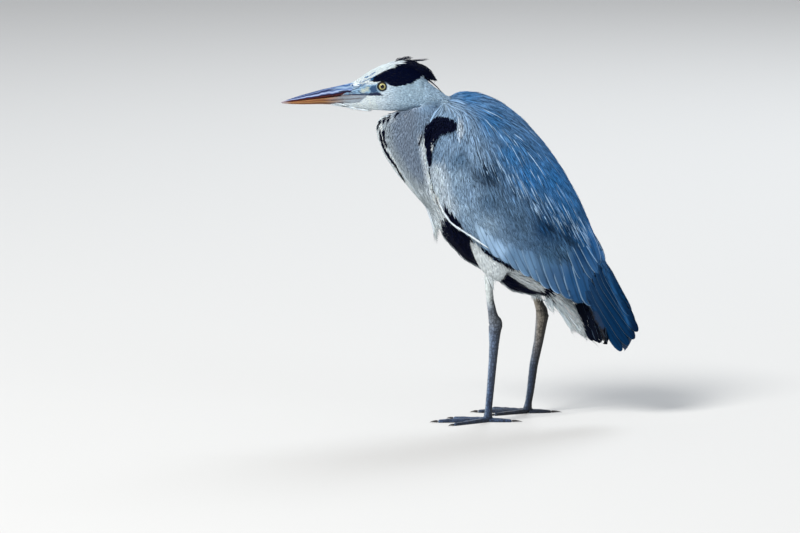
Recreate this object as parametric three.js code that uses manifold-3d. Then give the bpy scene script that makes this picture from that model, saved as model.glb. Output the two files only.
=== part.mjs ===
// Grey heron (Ardea cinerea), a still life-size model. It stands in side pose with its neck folded back on its
// shoulders. Millimetres, +Z up. The bird faces -X and its left side faces -Y. The floor is z = 0, and the origin
// is on the floor under the middle of its length. Every body form is a loft through ribs: a rib is a cross-section
// given by its two ends in the side plane and its half width. The folded wings are cut from one outer shell.
import * as THREE from "three";
import { mergeVertices } from "three/addons/utils/BufferGeometryUtils.js";
import Module from "manifold-3d";

const wasm = await Module();
wasm.setup();

// ---- driving dimensions ----
const seam = 0.35; // gap between neighbouring pieces
const slack = 0.12; // detail smaller than this is dropped from a cut piece
const eyeRadius = 8;
const eyeCentre = new THREE.Vector3(-125, 10.4, 537.5); // y is the distance from the middle plane
const stanceHalf = 42; // each foot's distance from the middle plane
const toeSink = 0.62; // height of a toe's centreline over the floor, as a share of its radius
const toeTipShare = 0.62; // a toe's radius at its tip, as a share of that at its root
const footJointZ = 9; // height of the joint where the toes leave the shank
const reach = 400; // size of the blocks that part the model into regions

const colours = {
  white: [0xe9ecea, 0.85],
  greyWhite: [0xc9cdd3, 0.85],
  neckGrey: [0xaeb0ba, 0.85],
  wingGrey: [0x8fa6bb, 0.75],
  slate: [0x4f6f8c, 0.7],
  black: [0x0d1020, 0.6],
  horn: [0xc98a3e, 0.45],
  hornDark: [0x5b5f86, 0.45],
  leg: [0x6f7a78, 0.6],
  claw: [0x2b2622, 0.5],
  iris: [0xe2cf4a, 0.15],
};
const paint = Object.fromEntries(
  Object.entries(colours).map(([name, [color, roughness]]) => [
    name,
    new THREE.MeshStandardMaterial({ color, roughness, metalness: 0 }),
  ]),
);

// ---- solids ----
function solidFrom(geometry) {
  geometry.deleteAttribute("normal");
  geometry.deleteAttribute("uv");
  const merged = mergeVertices(geometry, 1e-4);
  const vertProperties = merged.attributes.position.array;
  const facing = new Uint32Array(merged.index.array);
  const turned = facing.map((_, i) => facing[i - 2 * (i % 3) + 2]);
  const made = [facing, turned].map(
    (triVerts) => new wasm.Manifold(new wasm.Mesh({ numProp: 3, vertProperties, triVerts })),
  );
  return made.find((solid) => solid.volume() > 0);
}

function geometryOf(solid) {
  const mesh = solid.getMesh();
  const geometry = new THREE.BufferGeometry();
  geometry.setAttribute("position", new THREE.BufferAttribute(mesh.vertProperties, 3));
  geometry.setIndex(new THREE.BufferAttribute(mesh.triVerts, 1));
  return geometry;
}

// The largest single body of what is left of a solid, so that a cut leaves no crumbs.
function cut(solid, ...others) {
  const left = others.reduce((rest, other) => rest.subtract(other), solid);
  return left.simplify(slack).decompose().sort((a, b) => b.volume() - a.volume())[0];
}

function box(from, to) {
  const geometry = new THREE.BoxGeometry(...to.map((v, i) => v - from[i]));
  geometry.translate(...to.map((v, i) => (v + from[i]) / 2));
  return solidFrom(geometry);
}

// A block across the whole width with the given outline [x, z] in the side plane.
function sideBlock(outline) {
  const shape = new THREE.Shape(outline.map(([x, z]) => new THREE.Vector2(x, z)));
  const geometry = new THREE.ExtrudeGeometry(shape, { depth: 2 * reach, bevelEnabled: false, steps: 1 });
  geometry.rotateX(Math.PI / 2);
  geometry.translate(0, reach, 0);
  return solidFrom(geometry);
}

function curve(points, divisions) {
  const line = new THREE.SplineCurve(points.map(([x, z]) => new THREE.Vector2(x, z)));
  return line.getPoints(divisions).map((p) => [p.x, p.y]);
}

const shifted = (line, dx, dz) => line.map(([x, z]) => [x + dx, z + dz]);

// ---- lofts ----
// One cross-section: its two ends [x, z] in the side plane and its half width. egg widens the first end (the second
// when negative) and y sets the section off the middle plane.
function rib(top, bottom, half, { egg = 0, y = 0 } = {}) {
  return { top, bottom, half, egg, y };
}

// The points round a cross-section. Over 2, squareness fills its corners, and grow swells it on every side.
function ringOf({ top, bottom, half, egg, y }, sides, squareness, grow) {
  const powered = (value) => Math.sign(value) * Math.abs(value) ** (2 / squareness);
  const [first, last] = [top, bottom].map(([x, z]) => new THREE.Vector3(x, y, z));
  const middle = first.clone().lerp(last, 0.5);
  const arm = first.clone().sub(middle);
  arm.setLength(arm.length() + grow);
  return Array.from({ length: sides }, (_, k) => {
    const angle = (2 * Math.PI * k) / sides;
    const point = middle.clone().addScaledVector(arm, powered(Math.cos(angle)));
    point.y += (half + grow) * powered(Math.sin(angle)) * (1 + egg * Math.cos(angle));
    return point;
  });
}

function centreOf(ring) {
  return ring.reduce((sum, p) => sum.add(p), new THREE.Vector3()).divideScalar(ring.length);
}

// The rings and the tip of a dome that closes the open end of a ring.
function dome(ring, inner, length) {
  const middle = centreOf(ring);
  const out = middle.clone().sub(centreOf(inner)).normalize().multiplyScalar(length);
  const layers = (ring.length > 8 ? [30, 60] : [45]).map((degrees) => {
    const angle = THREE.MathUtils.degToRad(degrees);
    return ring.map((p) => p.clone().lerp(middle, 1 - Math.cos(angle)).addScaledVector(out, Math.sin(angle)));
  });
  return { layers, tip: middle.clone().add(out) };
}

// A closed loft through ribs with domed ends of the lengths in caps.
function loft(ribs, { sides = 12, caps = [3, 3], squareness = 2, grow = 0 } = {}) {
  const rings = ribs.map((section) => ringOf(section, sides, squareness, grow));
  const first = dome(rings[0], rings[1], caps[0] + grow);
  const last = dome(rings.at(-1), rings.at(-2), caps[1] + grow);
  const all = [...first.layers.reverse(), ...rings, ...last.layers];
  const end = all.length * sides;
  const index = [];
  for (let k = 0; k < sides; k++) {
    const next = (k + 1) % sides;
    for (let start = 0; start < end - sides; start += sides) {
      const [a, b] = [start + k, start + next];
      index.push(a, b, a + sides, b, b + sides, a + sides);
    }
    index.push(end, next, k, end + 1, end - sides + k, end - sides + next);
  }
  const points = [...all.flat(), first.tip, last.tip];
  return solidFrom(new THREE.BufferGeometry().setFromPoints(points).setIndex(index));
}

// A limb at distance y from the middle plane, along [x, z, radius in the side plane, radius across].
function limb(stations, y, caps, grow) {
  const ribs = stations.map(([x, z, deep, wide], i) => {
    const [before, after] = [stations[Math.max(i - 1, 0)], stations[Math.min(i + 1, stations.length - 1)]];
    const arm = new THREE.Vector2(before[1] - after[1], after[0] - before[0]).setLength(deep);
    return rib([x + arm.x, z + arm.y], [x - arm.x, z - arm.y], wide, { y });
  });
  return loft(ribs, { sides: 10, caps, grow });
}

// ---- head, eyes and bill ----
const headRibs = [
  rib([-174, 540], [-200, 506.5], 8.5, { egg: -0.1 }),
  rib([-160, 550], [-178, 501], 11, { egg: -0.12 }),
  rib([-146, 560], [-152, 496], 13.8, { egg: -0.1 }),
  rib([-125, 570], [-128, 495.5], 16.6, { egg: -0.04 }),
  rib([-104, 574], [-104, 494], 19.2, { egg: -0.04 }),
  rib([-82, 571], [-81, 491.5], 20.6, { egg: -0.04 }),
  rib([-64, 558], [-60, 491], 20.8, { egg: -0.04 }),
];
const headForm = (grow) => loft(headRibs, { sides: 14, caps: [2, 2], squareness: 2.1, grow });

// The upper half reaches from the ridge to the cutting edge, the lower half from the cutting edge to the keel.
const upperBillRibs = [
  rib([-158, 543], [-158, 523], 9.2, { egg: -0.3 }),
  rib([-175, 539.8], [-175, 522], 8.8, { egg: -0.3 }),
  rib([-192, 535.6], [-192, 520.2], 7.8, { egg: -0.3 }),
  rib([-221, 529.4], [-221, 516.4], 6.2, { egg: -0.3 }),
  rib([-254, 520.2], [-254, 512.4], 4.3, { egg: -0.25 }),
  rib([-273, 514], [-273, 509.8], 2.6, { egg: -0.2 }),
  rib([-284, 510.2], [-284, 508.4], 1.2),
];
const lowerBillRibs = [
  rib([-158, 522.6], [-160, 504], 9, { egg: 0.15 }),
  rib([-178, 521.4], [-180, 504], 8.2, { egg: 0.2 }),
  rib([-200, 519], [-200, 505.4], 7, { egg: 0.25 }),
  rib([-222, 515.8], [-222, 506.2], 5.6, { egg: 0.3 }),
  rib([-254, 512], [-254, 505.8], 3.9, { egg: 0.3 }),
  rib([-271, 509.9], [-271, 506.3], 2.4, { egg: 0.2 }),
  rib([-282, 508.3], [-282, 507], 1.1),
];
const upperBillForm = (grow) => loft(upperBillRibs, { sides: 10, caps: [2, 2.8], grow });
const lowerBillForm = (grow) => loft(lowerBillRibs, { sides: 10, caps: [2, 2.8], grow });

function eyeForm(side) {
  return (grow) => {
    const geometry = new THREE.SphereGeometry(eyeRadius + grow, 10, 6);
    geometry.translate(eyeCentre.x, side * eyeCentre.y, eyeCentre.z);
    return solidFrom(geometry);
  };
}

const crestRibs = [
  rib([-112, 574.5], [-110, 565], 11),
  rib([-92, 577.5], [-88, 564], 13),
  rib([-72, 574], [-70, 556], 12),
  rib([-55, 564], [-59, 548], 8),
  rib([-41, 549], [-44, 543.5], 3),
];
const crestForm = (grow) => loft(crestRibs, { sides: 8, caps: [6, 1.6], grow });

// ---- neck ----
const upperNeckRibs = [
  rib([-70, 562], [-84, 492], 20.4),
  rib([-57, 547], [-66, 491], 20.8),
  rib([-43, 535], [-48, 495], 20.6),
  rib([-28, 524.5], [-32, 504], 17),
];
const upperNeckForm = (grow) => loft(upperNeckRibs, { sides: 12, caps: [2, 5], grow });

// The folded lower neck bulges under the chin and runs down into the breast. Its ribs lie from front to back.
const lowerNeckRibs = [
  rib([-110, 491], [-34, 510], 23),
  rib([-132, 484], [-28, 486], 28),
  rib([-137, 469], [-26, 458], 31),
  rib([-133.4, 449], [-22, 430], 33.5),
  rib([-122.6, 423], [-14, 400], 35.5),
  rib([-105, 397], [-4, 368], 37, { egg: -0.08 }),
  rib([-81, 369], [6, 336], 37, { egg: -0.14 }),
  rib([-55, 340], [8, 308], 33, { egg: -0.18 }),
  rib([-42.5, 317], [4, 292], 26, { egg: -0.18 }),
];
const lowerNeckForm = (grow) => loft(lowerNeckRibs, { sides: 14, caps: [7, 8], squareness: 2.1, grow });

// Loose plumes hang from the foot of the neck over the breast.
const breastPlumeRibs = [
  rib([-46.5, 325], [-20, 314], 15),
  rib([-42, 309], [-22, 302], 12),
  rib([-39.5, 297], [-28, 293], 7.5),
  rib([-38.4, 287], [-35.4, 286], 1.8),
];
const breastPlumeForm = (grow) => loft(breastPlumeRibs, { sides: 8, caps: [2, 1], grow });

// ---- trunk, wings and tail ----
const trunkRibs = [
  rib([-18, 500], [-56, 440], 30),
  rib([10, 510], [-54, 392], 46),
  rib([44, 500], [-46, 342], 57, { egg: 0.04 }),
  rib([84, 474], [-31, 292], 61, { egg: 0.06 }),
  rib([120, 438], [4, 254], 59, { egg: 0.08 }),
  rib([150, 396], [44, 232], 52, { egg: 0.1 }),
  rib([174, 350], [80, 203], 43, { egg: 0.1 }),
  rib([192, 306], [112, 196], 32, { egg: 0.08 }),
  rib([204, 262], [146, 200], 20),
];
const trunkForm = (grow) => loft(trunkRibs, { sides: 14, caps: [12, 8], squareness: 2.1, grow });

const shellRibs = [
  rib([-24, 519], [-60, 380], 42),
  rib([-4, 529], [-58, 316], 58),
  rib([30, 527], [-44, 260], 67),
  rib([66, 511.5], [-22, 218], 71),
  rib([103, 481], [10, 192], 71.5, { egg: 0.02 }),
  rib([134, 445.5], [46, 170], 68, { egg: 0.03 }),
  rib([162, 406], [82, 152], 62, { egg: 0.04 }),
  rib([187, 362], [118, 138], 53, { egg: 0.05 }),
  rib([206, 320], [150, 128], 44, { egg: 0.05 }),
  rib([221, 278], [180, 122], 36, { egg: 0.05 }),
  rib([240, 232], [206, 114], 28, { egg: 0.05 }),
  rib([263, 185], [232, 100], 19),
  rib([283, 149], [262, 104], 9),
];
const shellForm = (grow) => loft(shellRibs, { sides: 18, caps: [12, 5], squareness: 2.15, grow });

// Lines in the side plane that part the folded wing: its lower edge out to the tips of the primaries, the lower
// limit of the long shoulder feathers, the hind limit of the coverts, and the front limit of the bare primaries.
const wingEdge = curve(
  [[-62, 520], [-60, 470], [-53, 424], [-46, 391], [-41, 366], [-30, 340], [-17, 321], [3, 309], [34, 288],
    [82, 255], [119, 232], [157, 210], [187, 190], [205, 186], [217, 164], [240, 133], [262, 108]], 24);
const shoulderLine = curve([[-80, 505], [-12, 478], [30, 404], [70, 366], [124, 330], [186, 294], [260, 240]], 9);
const covertLine = curve([[158, 314], [132, 272], [114, 241], [106, 200]], 4);
const primaryLine = curve([[240, 300], [228, 262], [218, 224], [206, 188], [198, 150]], 4);

const tailRibs = [
  rib([184, 240], [168, 230], 16),
  rib([206, 192], [190, 182], 20),
  rib([224, 157], [209, 146], 23),
  rib([239, 131], [226, 122.5], 22),
];
const tailForm = (grow) => loft(tailRibs, { sides: 10, caps: [6, 2.5], grow });

// White feathers under the tail.
const ventRibs = [
  rib([148, 226], [118, 212], 28),
  rib([168, 204], [140, 192], 24),
  rib([184, 180], [163, 166], 17),
  rib([200, 152], [184, 141], 10),
  rib([210, 131], [203, 127], 3),
];
const ventForm = (grow) => loft(ventRibs, { sides: 10, caps: [8, 2], grow });

// ---- legs and feet ----
const legs = {
  left: {
    y: -stanceHalf,
    thigh: [
      rib([2, 326], [96, 306], 15, { y: -35 }),
      rib([8, 298], [90, 276], 19, { y: -38 }),
      rib([18, 268], [80, 246], 17, { y: -41 }),
      rib([27, 250], [66, 229], 11.5, { y: -42 }),
      rib([36.5, 240], [52.5, 229], 6.8, { y: -42 }),
    ],
    shin: [[43.5, 238, 5.6, 5.2], [44.4, 218.6, 5.5, 4.9], [46.6, 196, 5.5, 4.9], [50.4, 176, 6.6, 6],
      [53.8, 161, 9.2, 7.8]],
    shank: [[54.8, 153.6, 10.2, 8.3], [53.8, 141, 8.8, 7.3], [53.1, 126, 7.4, 5.8], [51.4, 102, 6.4, 5],
      [48.2, 62, 5.6, 4.4], [44.6, 22, 5.1, 4.2], [43.6, footJointZ, 6.4, 6]],
    heading: 3,
  },
  right: {
    y: stanceHalf,
    thigh: [
      rib([34, 296], [118, 312], 15, { y: 35 }),
      rib([52, 264], [126, 282], 19, { y: 38 }),
      rib([76, 234], [133, 250], 17, { y: 41 }),
      rib([96, 213], [136, 224], 11.5, { y: 42 }),
      rib([112, 200], [128, 204], 6.8, { y: 42 }),
    ],
    shin: [[120.4, 205, 5.8, 5.2], [122.2, 191.9, 6, 5], [127.4, 177, 7.2, 6], [131.2, 168, 9, 7.6]],
    shank: [[132.6, 160.6, 10, 8.3], [130.6, 147, 8.8, 7.3], [126.6, 118.3, 7.2, 5.6], [118.6, 78.7, 6.4, 4.8],
      [113.8, 38.3, 5.6, 4.4], [110.6, 18, 5.1, 4.2], [109.2, footJointZ, 6.4, 6]],
    heading: 1,
  },
};
// Toes fan out from the foot. angle is from straight ahead, outwards positive. Each swells at its joints.
const toes = {
  inner: { angle: -27, length: 58, radius: 4.3, joints: 2, claw: 12 },
  middle: { angle: 2, length: 78, radius: 4.6, joints: 3, claw: 13 },
  outer: { angle: 31, length: 64, radius: 4.2, joints: 4, claw: 11 },
  hind: { angle: 174, length: 36, radius: 4.2, joints: 1, claw: 17 },
};

// A loft lying on the floor, from the foot of a leg out along a toe: [distance, height, half height, half width].
function floorLoft(leg, toe, stations, sides, caps, grow) {
  const turn = THREE.MathUtils.degToRad(180 - Math.sign(leg.y) * (leg.heading + toe.angle));
  const ribs = stations.map(([along, height, tall, wide]) =>
    rib([along, height + tall], [along, height - tall], wide));
  const geometry = geometryOf(loft(ribs, { sides, caps, grow }));
  geometry.rotateZ(turn);
  geometry.translate(leg.shank.at(-1)[0], leg.y, 0);
  return solidFrom(geometry);
}

function toeForm(leg, toe) {
  const count = 2 * toe.joints;
  const stations = Array.from({ length: count + 1 }, (_, i) => {
    const share = i / count;
    const radius = toe.radius * (1 - (1 - toeTipShare) * share) * (i % 2 ? 1.06 : 0.95);
    return [3 + share * (toe.length - 3), radius * toeSink, radius, radius * 1.02];
  });
  return (grow) => floorLoft(leg, toe, stations, 8, [1, 2], grow);
}

function clawForm(leg, toe) {
  const from = toe.length + 2.8;
  const radius = toe.radius * toeTipShare * 0.72;
  const stations = [[0, 1, 1], [0.35, 0.86, 1.06], [0.7, 0.52, 0.86], [1, 0.16, 0.3]].map(
    ([share, thick, height]) =>
      [from + share * toe.claw, radius * height * 1.05, radius * thick, radius * thick * 0.72]);
  return (grow) => floorLoft(leg, toe, stations, 6, [0.4, 0.6], grow);
}

// ---- assembly ----
const heron = new THREE.Group();
heron.name = "heron";
const placed = []; // every form so far, swollen by the seam

function add(name, solid, material) {
  const geometry = geometryOf(solid);
  geometry.computeVertexNormals();
  const mesh = new THREE.Mesh(geometry, material);
  mesh.name = name;
  heron.add(mesh);
}

// Adds a form less its neighbours: whatever was placed before it keeps its whole shape.
function place(name, form, material, ...others) {
  add(name, cut(form(0), ...placed, ...others), material);
  placed.push(form(seam));
}

place("bill_upper", upperBillForm, paint.hornDark);
place("bill_lower", lowerBillForm, paint.horn);
place("eye_left", eyeForm(-1), paint.iris);
place("eye_right", eyeForm(1), paint.iris);
place("head", headForm, paint.white);
place("neck_upper", upperNeckForm, paint.neckGrey);
place("crest", crestForm, paint.black);

const underFloor = box([-reach, -reach, -reach], [reach, reach, 0]);
for (const [name, leg] of Object.entries(legs)) {
  place(`shin_${name}`, (grow) => limb(leg.shin, leg.y, [2, 4], grow), paint.leg);
  place(`shank_${name}`, (grow) => limb(leg.shank, leg.y, [4, 4.5], grow), paint.leg, underFloor);
  for (const [toeName, toe] of Object.entries(toes)) {
    place(`toe_${toeName}_${name}`, toeForm(leg, toe), paint.leg, underFloor);
    place(`claw_${toeName}_${name}`, clawForm(leg, toe), paint.claw, underFloor);
  }
  place(`thigh_${name}`, (grow) => loft(leg.thigh, { sides: 10, caps: [8, 2], grow }), paint.greyWhite);
}

place("trunk", trunkForm, paint.black);
place("neck_lower", lowerNeckForm, paint.neckGrey);
place("breast_plumes", breastPlumeForm, paint.white);
place("tail", tailForm, paint.slate);
place("vent_feathers", ventForm, paint.white);

// The outer shell of folded feathers, parted into shoulder feathers, coverts, flight feathers and primaries.
const shell = cut(shellForm(0), ...placed);
function aboveShoulder(gap) {
  const edge = shifted([[-reach, 505], ...shoulderLine, [reach, 240]], 0, -gap);
  return sideBlock([...edge, [reach, 700], [-reach, 700]]);
}
function behind(line, gap) {
  const edge = shifted([[line[0][0], 480], ...line, [line.at(-1)[0], -50]], -gap, 0);
  return sideBlock([...edge, [reach, -50], [reach, 480]]);
}
const underWing = sideBlock([...wingEdge, [262, 20], [-reach, 20], [-reach, 520]]);
const sides = {
  left: box([-reach, -reach, -reach], [reach, -seam / 2, 2 * reach]),
  right: box([-reach, seam / 2, -reach], [reach, reach, 2 * reach]),
};
for (const [name, side] of Object.entries(sides)) {
  const wing = shell.intersect(side).subtract(underWing);
  const folded = wing.subtract(behind(primaryLine, seam));
  const lower = folded.subtract(aboveShoulder(seam));
  add(`shoulder_feathers_${name}`, cut(folded.intersect(aboveShoulder(0))), paint.wingGrey);
  add(`wing_coverts_${name}`, cut(lower, behind(covertLine, seam)), paint.greyWhite);
  add(`flight_feathers_${name}`, cut(lower.intersect(behind(covertLine, 0))), paint.slate);
  add(`primaries_${name}`, cut(wing.intersect(behind(primaryLine, 0))), paint.black);
}

export default heron;
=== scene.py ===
import math
import bpy
import numpy as np
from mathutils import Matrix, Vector
from mathutils.bvhtree import BVHTree


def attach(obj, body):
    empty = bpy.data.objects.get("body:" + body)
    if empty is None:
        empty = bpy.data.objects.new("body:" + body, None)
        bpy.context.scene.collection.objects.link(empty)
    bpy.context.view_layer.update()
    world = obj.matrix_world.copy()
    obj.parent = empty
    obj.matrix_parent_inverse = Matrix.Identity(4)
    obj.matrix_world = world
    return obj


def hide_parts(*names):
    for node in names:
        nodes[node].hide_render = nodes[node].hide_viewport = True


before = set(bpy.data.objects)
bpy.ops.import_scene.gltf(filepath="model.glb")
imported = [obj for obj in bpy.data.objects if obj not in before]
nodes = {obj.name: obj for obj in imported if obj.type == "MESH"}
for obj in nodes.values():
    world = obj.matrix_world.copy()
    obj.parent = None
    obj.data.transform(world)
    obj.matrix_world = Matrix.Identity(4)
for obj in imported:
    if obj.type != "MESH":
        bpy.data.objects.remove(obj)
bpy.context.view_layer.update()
print("frame loaded:", len(nodes), "nodes")

mm = 0.001
sideSign = {"left": -1, "right": 1}
toeNames = ("inner", "middle", "outer", "hind")
legParts = ("shin", "shank", *("toe_" + toe for toe in toeNames))
random = np.random.default_rng(11)


# small helpers for objects
def makeActive(*pieces):  # selects these alone, the first as the active one
    if bpy.context.object and bpy.context.object.mode != "OBJECT":
        bpy.ops.object.mode_set(mode="OBJECT")
    bpy.ops.object.select_all(action="DESELECT")
    for piece in pieces:
        piece.select_set(True)
    bpy.context.view_layer.objects.active = pieces[0]


def rename(piece, name):
    piece.name = name
    piece.data.name = name
    return piece


def applyModifier(piece, kind, **values):
    makeActive(piece)
    modifier = piece.modifiers.new(kind, kind)
    for key, value in values.items():
        setattr(modifier, key, value)
    bpy.ops.object.modifier_apply(modifier=modifier.name)


def settle(piece, name):  # puts a piece's place, turn and size into its mesh
    makeActive(piece)
    bpy.ops.object.transform_apply(location=True, rotation=True, scale=True)
    return rename(piece, name)


def joinPieces(name, pieces):
    makeActive(*pieces)
    if len(pieces) > 1:
        bpy.ops.object.join()
    return rename(bpy.context.object, name)


def mergedCopy(name, nodeNames):
    copies = []
    for nodeName in nodeNames:
        copy = bpy.data.objects.new(nodeName + "_copy", nodes[nodeName].data.copy())
        bpy.context.scene.collection.objects.link(copy)
        copies.append(copy)
    piece = joinPieces(name, copies)
    piece.data.materials.clear()
    bpy.ops.object.mode_set(mode="EDIT")
    bpy.ops.mesh.select_all(action="SELECT")
    bpy.ops.mesh.remove_doubles(threshold=0.00002)
    bpy.ops.mesh.normals_make_consistent(inside=False)
    bpy.ops.object.mode_set(mode="OBJECT")
    return piece


def growTogether(name, nodeNames, grow, voxel, rounds=0, extras=()):  # solids made one smooth closed form
    piece = joinPieces(name, [mergedCopy(name, nodeNames), *extras])
    if grow:
        applyModifier(piece, "DISPLACE", strength=grow, mid_level=0)
    applyModifier(piece, "REMESH", mode="VOXEL", voxel_size=voxel)
    if rounds:
        applyModifier(piece, "SMOOTH", factor=0.5, iterations=rounds)
    return piece


def finishPiece(piece, slot, *replaced):
    makeActive(piece)
    bpy.ops.object.shade_smooth()
    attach(piece, "root")
    if replaced:
        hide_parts(*replaced)
    return piece


# small helpers for mesh numbers
def readAll(items, key, width=3, kind=float):  # one row of numbers for each item
    values = np.empty(len(items) * width, dtype=kind)
    items.foreach_get(key, values)
    return values.reshape(-1, width)


def vertexPlaces(mesh):
    return readAll(mesh.vertices, "co")


def vertexNormals(mesh):
    return readAll(mesh.vertex_normals, "vector")


def setVertexPlaces(mesh, places):
    mesh.vertices.foreach_set("co", np.asarray(places, dtype=np.float32).ravel())
    mesh.update()


def drawIn(piece, depths):
    mesh = piece.data
    setVertexPlaces(mesh, vertexPlaces(mesh) - vertexNormals(mesh) * depths[:, None])


def unit(vectors):
    return vectors / np.maximum(np.linalg.norm(vectors, axis=-1, keepdims=True), 1e-12)


def ease(value, low, high):  # smooth step from 0 at low to 1 at high
    t = np.clip((value - low) / (high - low), 0, 1)
    return t * t * (3 - 2 * t)


def blend(first, second, amount):
    return first + (second - first) * np.asarray(amount)[..., None]


def layered(colour, *layers):  # lays each colour over the ones before it, by its own amount
    for layer, amount in layers:
        colour = blend(colour, layer, amount)
    return colour


def blurOverEdges(mesh, values, rounds):
    a, b = readAll(mesh.edges, "vertices", 2, np.int64).T
    count = np.bincount(a, minlength=len(values)) + np.bincount(b, minlength=len(values))
    for _ in range(rounds):
        total = np.bincount(a, values[b], len(values)) + np.bincount(b, values[a], len(values))
        values = 0.5 * values + 0.5 * total / np.maximum(count, 1)
    return values


def edgeDistance(x, z, ax, az, bx, bz):
    dx, dz = bx - ax, bz - az
    t = np.clip(((x - ax) * dx + (z - az) * dz) / (dx * dx + dz * dz), 0, 1)
    return np.hypot(x - ax - t * dx, z - az - t * dz)


def outlineDepth(x, z, outline):  # how deep a point lies inside a closed outline, negative outside
    corners = np.array(outline, dtype=float)
    nearest = np.full(x.shape, 1e9)
    inside = np.zeros(x.shape, dtype=bool)
    for (ax, az), (bx, bz) in zip(corners, np.roll(corners, -1, axis=0)):
        nearest = np.minimum(nearest, edgeDistance(x, z, ax, az, bx, bz))
        crosses = (az > z) != (bz > z)
        inside ^= crosses & (x < (bx - ax) * (z - az) / ((bz - az) or 1e-9) + ax)
    return np.where(inside, nearest, -nearest)


def inOutline(x, z, outline, low, high):
    return ease(outlineDepth(x, z, outline), low, high)


def onLine(x, z, line, low, high):  # 1 up to the low distance from a line, 0 from the high one
    spans = zip(line[:-1], line[1:])
    return 1 - ease(np.min([edgeDistance(x, z, *start, *end) for start, end in spans], axis=0), low, high)


def along(line, t):  # points at shares t of a polyline's length
    line = np.array(line, dtype=float)
    run = np.concatenate([[0], np.cumsum(np.linalg.norm(np.diff(line, axis=0), axis=1))])
    wanted = np.asarray(t) * run[-1]
    return np.stack([np.interp(wanted, run, column) for column in line.T], axis=-1)


def lineAt(z, line):  # a falling line's x at some heights
    return np.interp(-z, [-point[1] for point in line], [point[0] for point in line])


def mottle(places, size):  # soft uneven patches between -1 and 1
    p = places / size
    waves = np.sin(p @ (1.7, 0.6, 1.1)) + np.sin(p @ (-0.9, 1.9, 0.7) + 1.3)
    return (waves + np.sin(p @ (0.4, -1.2, 2.1) + 2.6) + np.sin(p @ (2.3, 1.4, -1.3) + 4.1)) / 3


def lockStreaks(places):  # long soft streaks down the wing, between -1 and 1
    x, y, z = places.T * 1000
    across = (0.92 * x + 0.38 * z) / 3.1 + 0.02 * np.abs(y)
    down = (0.92 * z - 0.38 * x) / 21
    fine = np.sin(across * 2.3 + 1.7 * np.sin(down * 1.6 + 1) + 0.5)
    return np.sin(across + 1.3 * np.sin(down)) * 0.5 + fine * 0.5


def fromScreen(red, green, blue):  # a colour as 0-255 values made linear
    value = np.array((red, green, blue)) / 255
    return np.where(value < 0.04045, value / 12.92, ((value + 0.055) / 1.055) ** 2.4)


def paint(mesh, name, colours):
    layer = mesh.color_attributes.new(name, "FLOAT_COLOR", "POINT")
    rows = np.ones((len(colours), 4), dtype=np.float32)
    rows[:, :3] = np.clip(colours, 0, 1)
    layer.data.foreach_set("color", rows.ravel())


# camera, light and floor
studio = {
    "azimuth": 0.0,
    "elevation": 8.0,
    "distance": 8.0,
    "aim": (-0.0970, 0.0, 0.2448),
    "frameWidth": 1.28,  # metres across the picture at the bird
    "sensor": 36.0,
    "lights": [  # name, place, size, power, colour
        ("keyLight", (-4.6, -4.4, 7.0), 3.0, 900.0, (1.0, 0.98, 0.95)),
        ("fillLight", (6.0, -5.0, 2.4), 5.0, 120.0, (0.86, 0.93, 1.0)),
        ("rimLight", (2.0, 5.0, 5.4), 3.0, 260.0, (0.9, 0.95, 1.0)),
    ],
    "lightAim": (0, 0, 0.3),
    "sky": (0.93, 0.95, 1.0, 1),
    "skyStrength": 0.45,
    "floorSize": 40.0,
    "floorColour": (0.60, 0.60, 0.59, 1),
}


def makeCamera():
    azimuth, elevation = (math.radians(studio[key]) for key in ("azimuth", "elevation"))
    flat = math.cos(elevation)
    away = Vector((math.sin(azimuth) * flat, -math.cos(azimuth) * flat, math.sin(elevation)))
    bpy.ops.object.camera_add(location=Vector(studio["aim"]) + away * studio["distance"])
    camera = bpy.context.object
    camera.rotation_euler = (math.pi / 2 - elevation, 0, azimuth)
    camera.data.sensor_width = studio["sensor"]
    camera.data.lens = studio["sensor"] * studio["distance"] / studio["frameWidth"]
    camera.data.clip_end = 100
    bpy.context.scene.camera = camera


def makeLights():
    for name, place, size, power, colour in studio["lights"]:
        bpy.ops.object.light_add(type="AREA", location=place)
        light = bpy.context.object
        light.name = name
        light.data.size = size
        light.data.energy = power
        light.data.color = colour
        towards = Vector(studio["lightAim"]) - Vector(place)
        light.rotation_euler = towards.to_track_quat("-Z", "Y").to_euler()
    world = bpy.data.worlds.new("studioSky")
    bpy.context.scene.world = world
    world.use_nodes = True
    background = world.node_tree.nodes["Background"]
    background.inputs["Color"].default_value = studio["sky"]
    background.inputs["Strength"].default_value = studio["skyStrength"]
    bpy.context.scene.view_settings.view_transform = "Standard"


def makeFloor():
    bpy.ops.mesh.primitive_plane_add(size=studio["floorSize"], location=(0, 0, 0))
    floor = bpy.context.object
    floor.name = "studioFloor"
    material = bpy.data.materials.new("floorPaint")
    material.use_nodes = True
    shader = material.node_tree.nodes["Principled BSDF"]
    shader.inputs["Base Color"].default_value = studio["floorColour"]
    shader.inputs["Roughness"].default_value = 0.9
    floor.data.materials.append(material)


makeCamera()
makeLights()
makeFloor()
print("camera and studio set")


# where each tract of feathers lies, by the nodes it covers
def bothSides(name):
    return [f"{name}_{side}" for side in sideSign]


zoneNodes = {
    "head": ["head"],
    "crest": ["crest"],
    "nape": ["neck_upper"],
    "neck": ["neck_lower"],
    "trunk": ["trunk"],
    "shoulder": bothSides("shoulder_feathers"),
    "covert": bothSides("wing_coverts"),
    "flight": bothSides("flight_feathers"),
    "primary": bothSides("primaries"),
    "tail": ["tail"],
    "vent": ["vent_feathers"],
    "thigh": bothSides("thigh"),
    "leg": [f"{part}_{side}" for side in sideSign for part in legParts],
}
zoneNumber = {name: number for number, name in enumerate(zoneNodes)}


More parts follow.
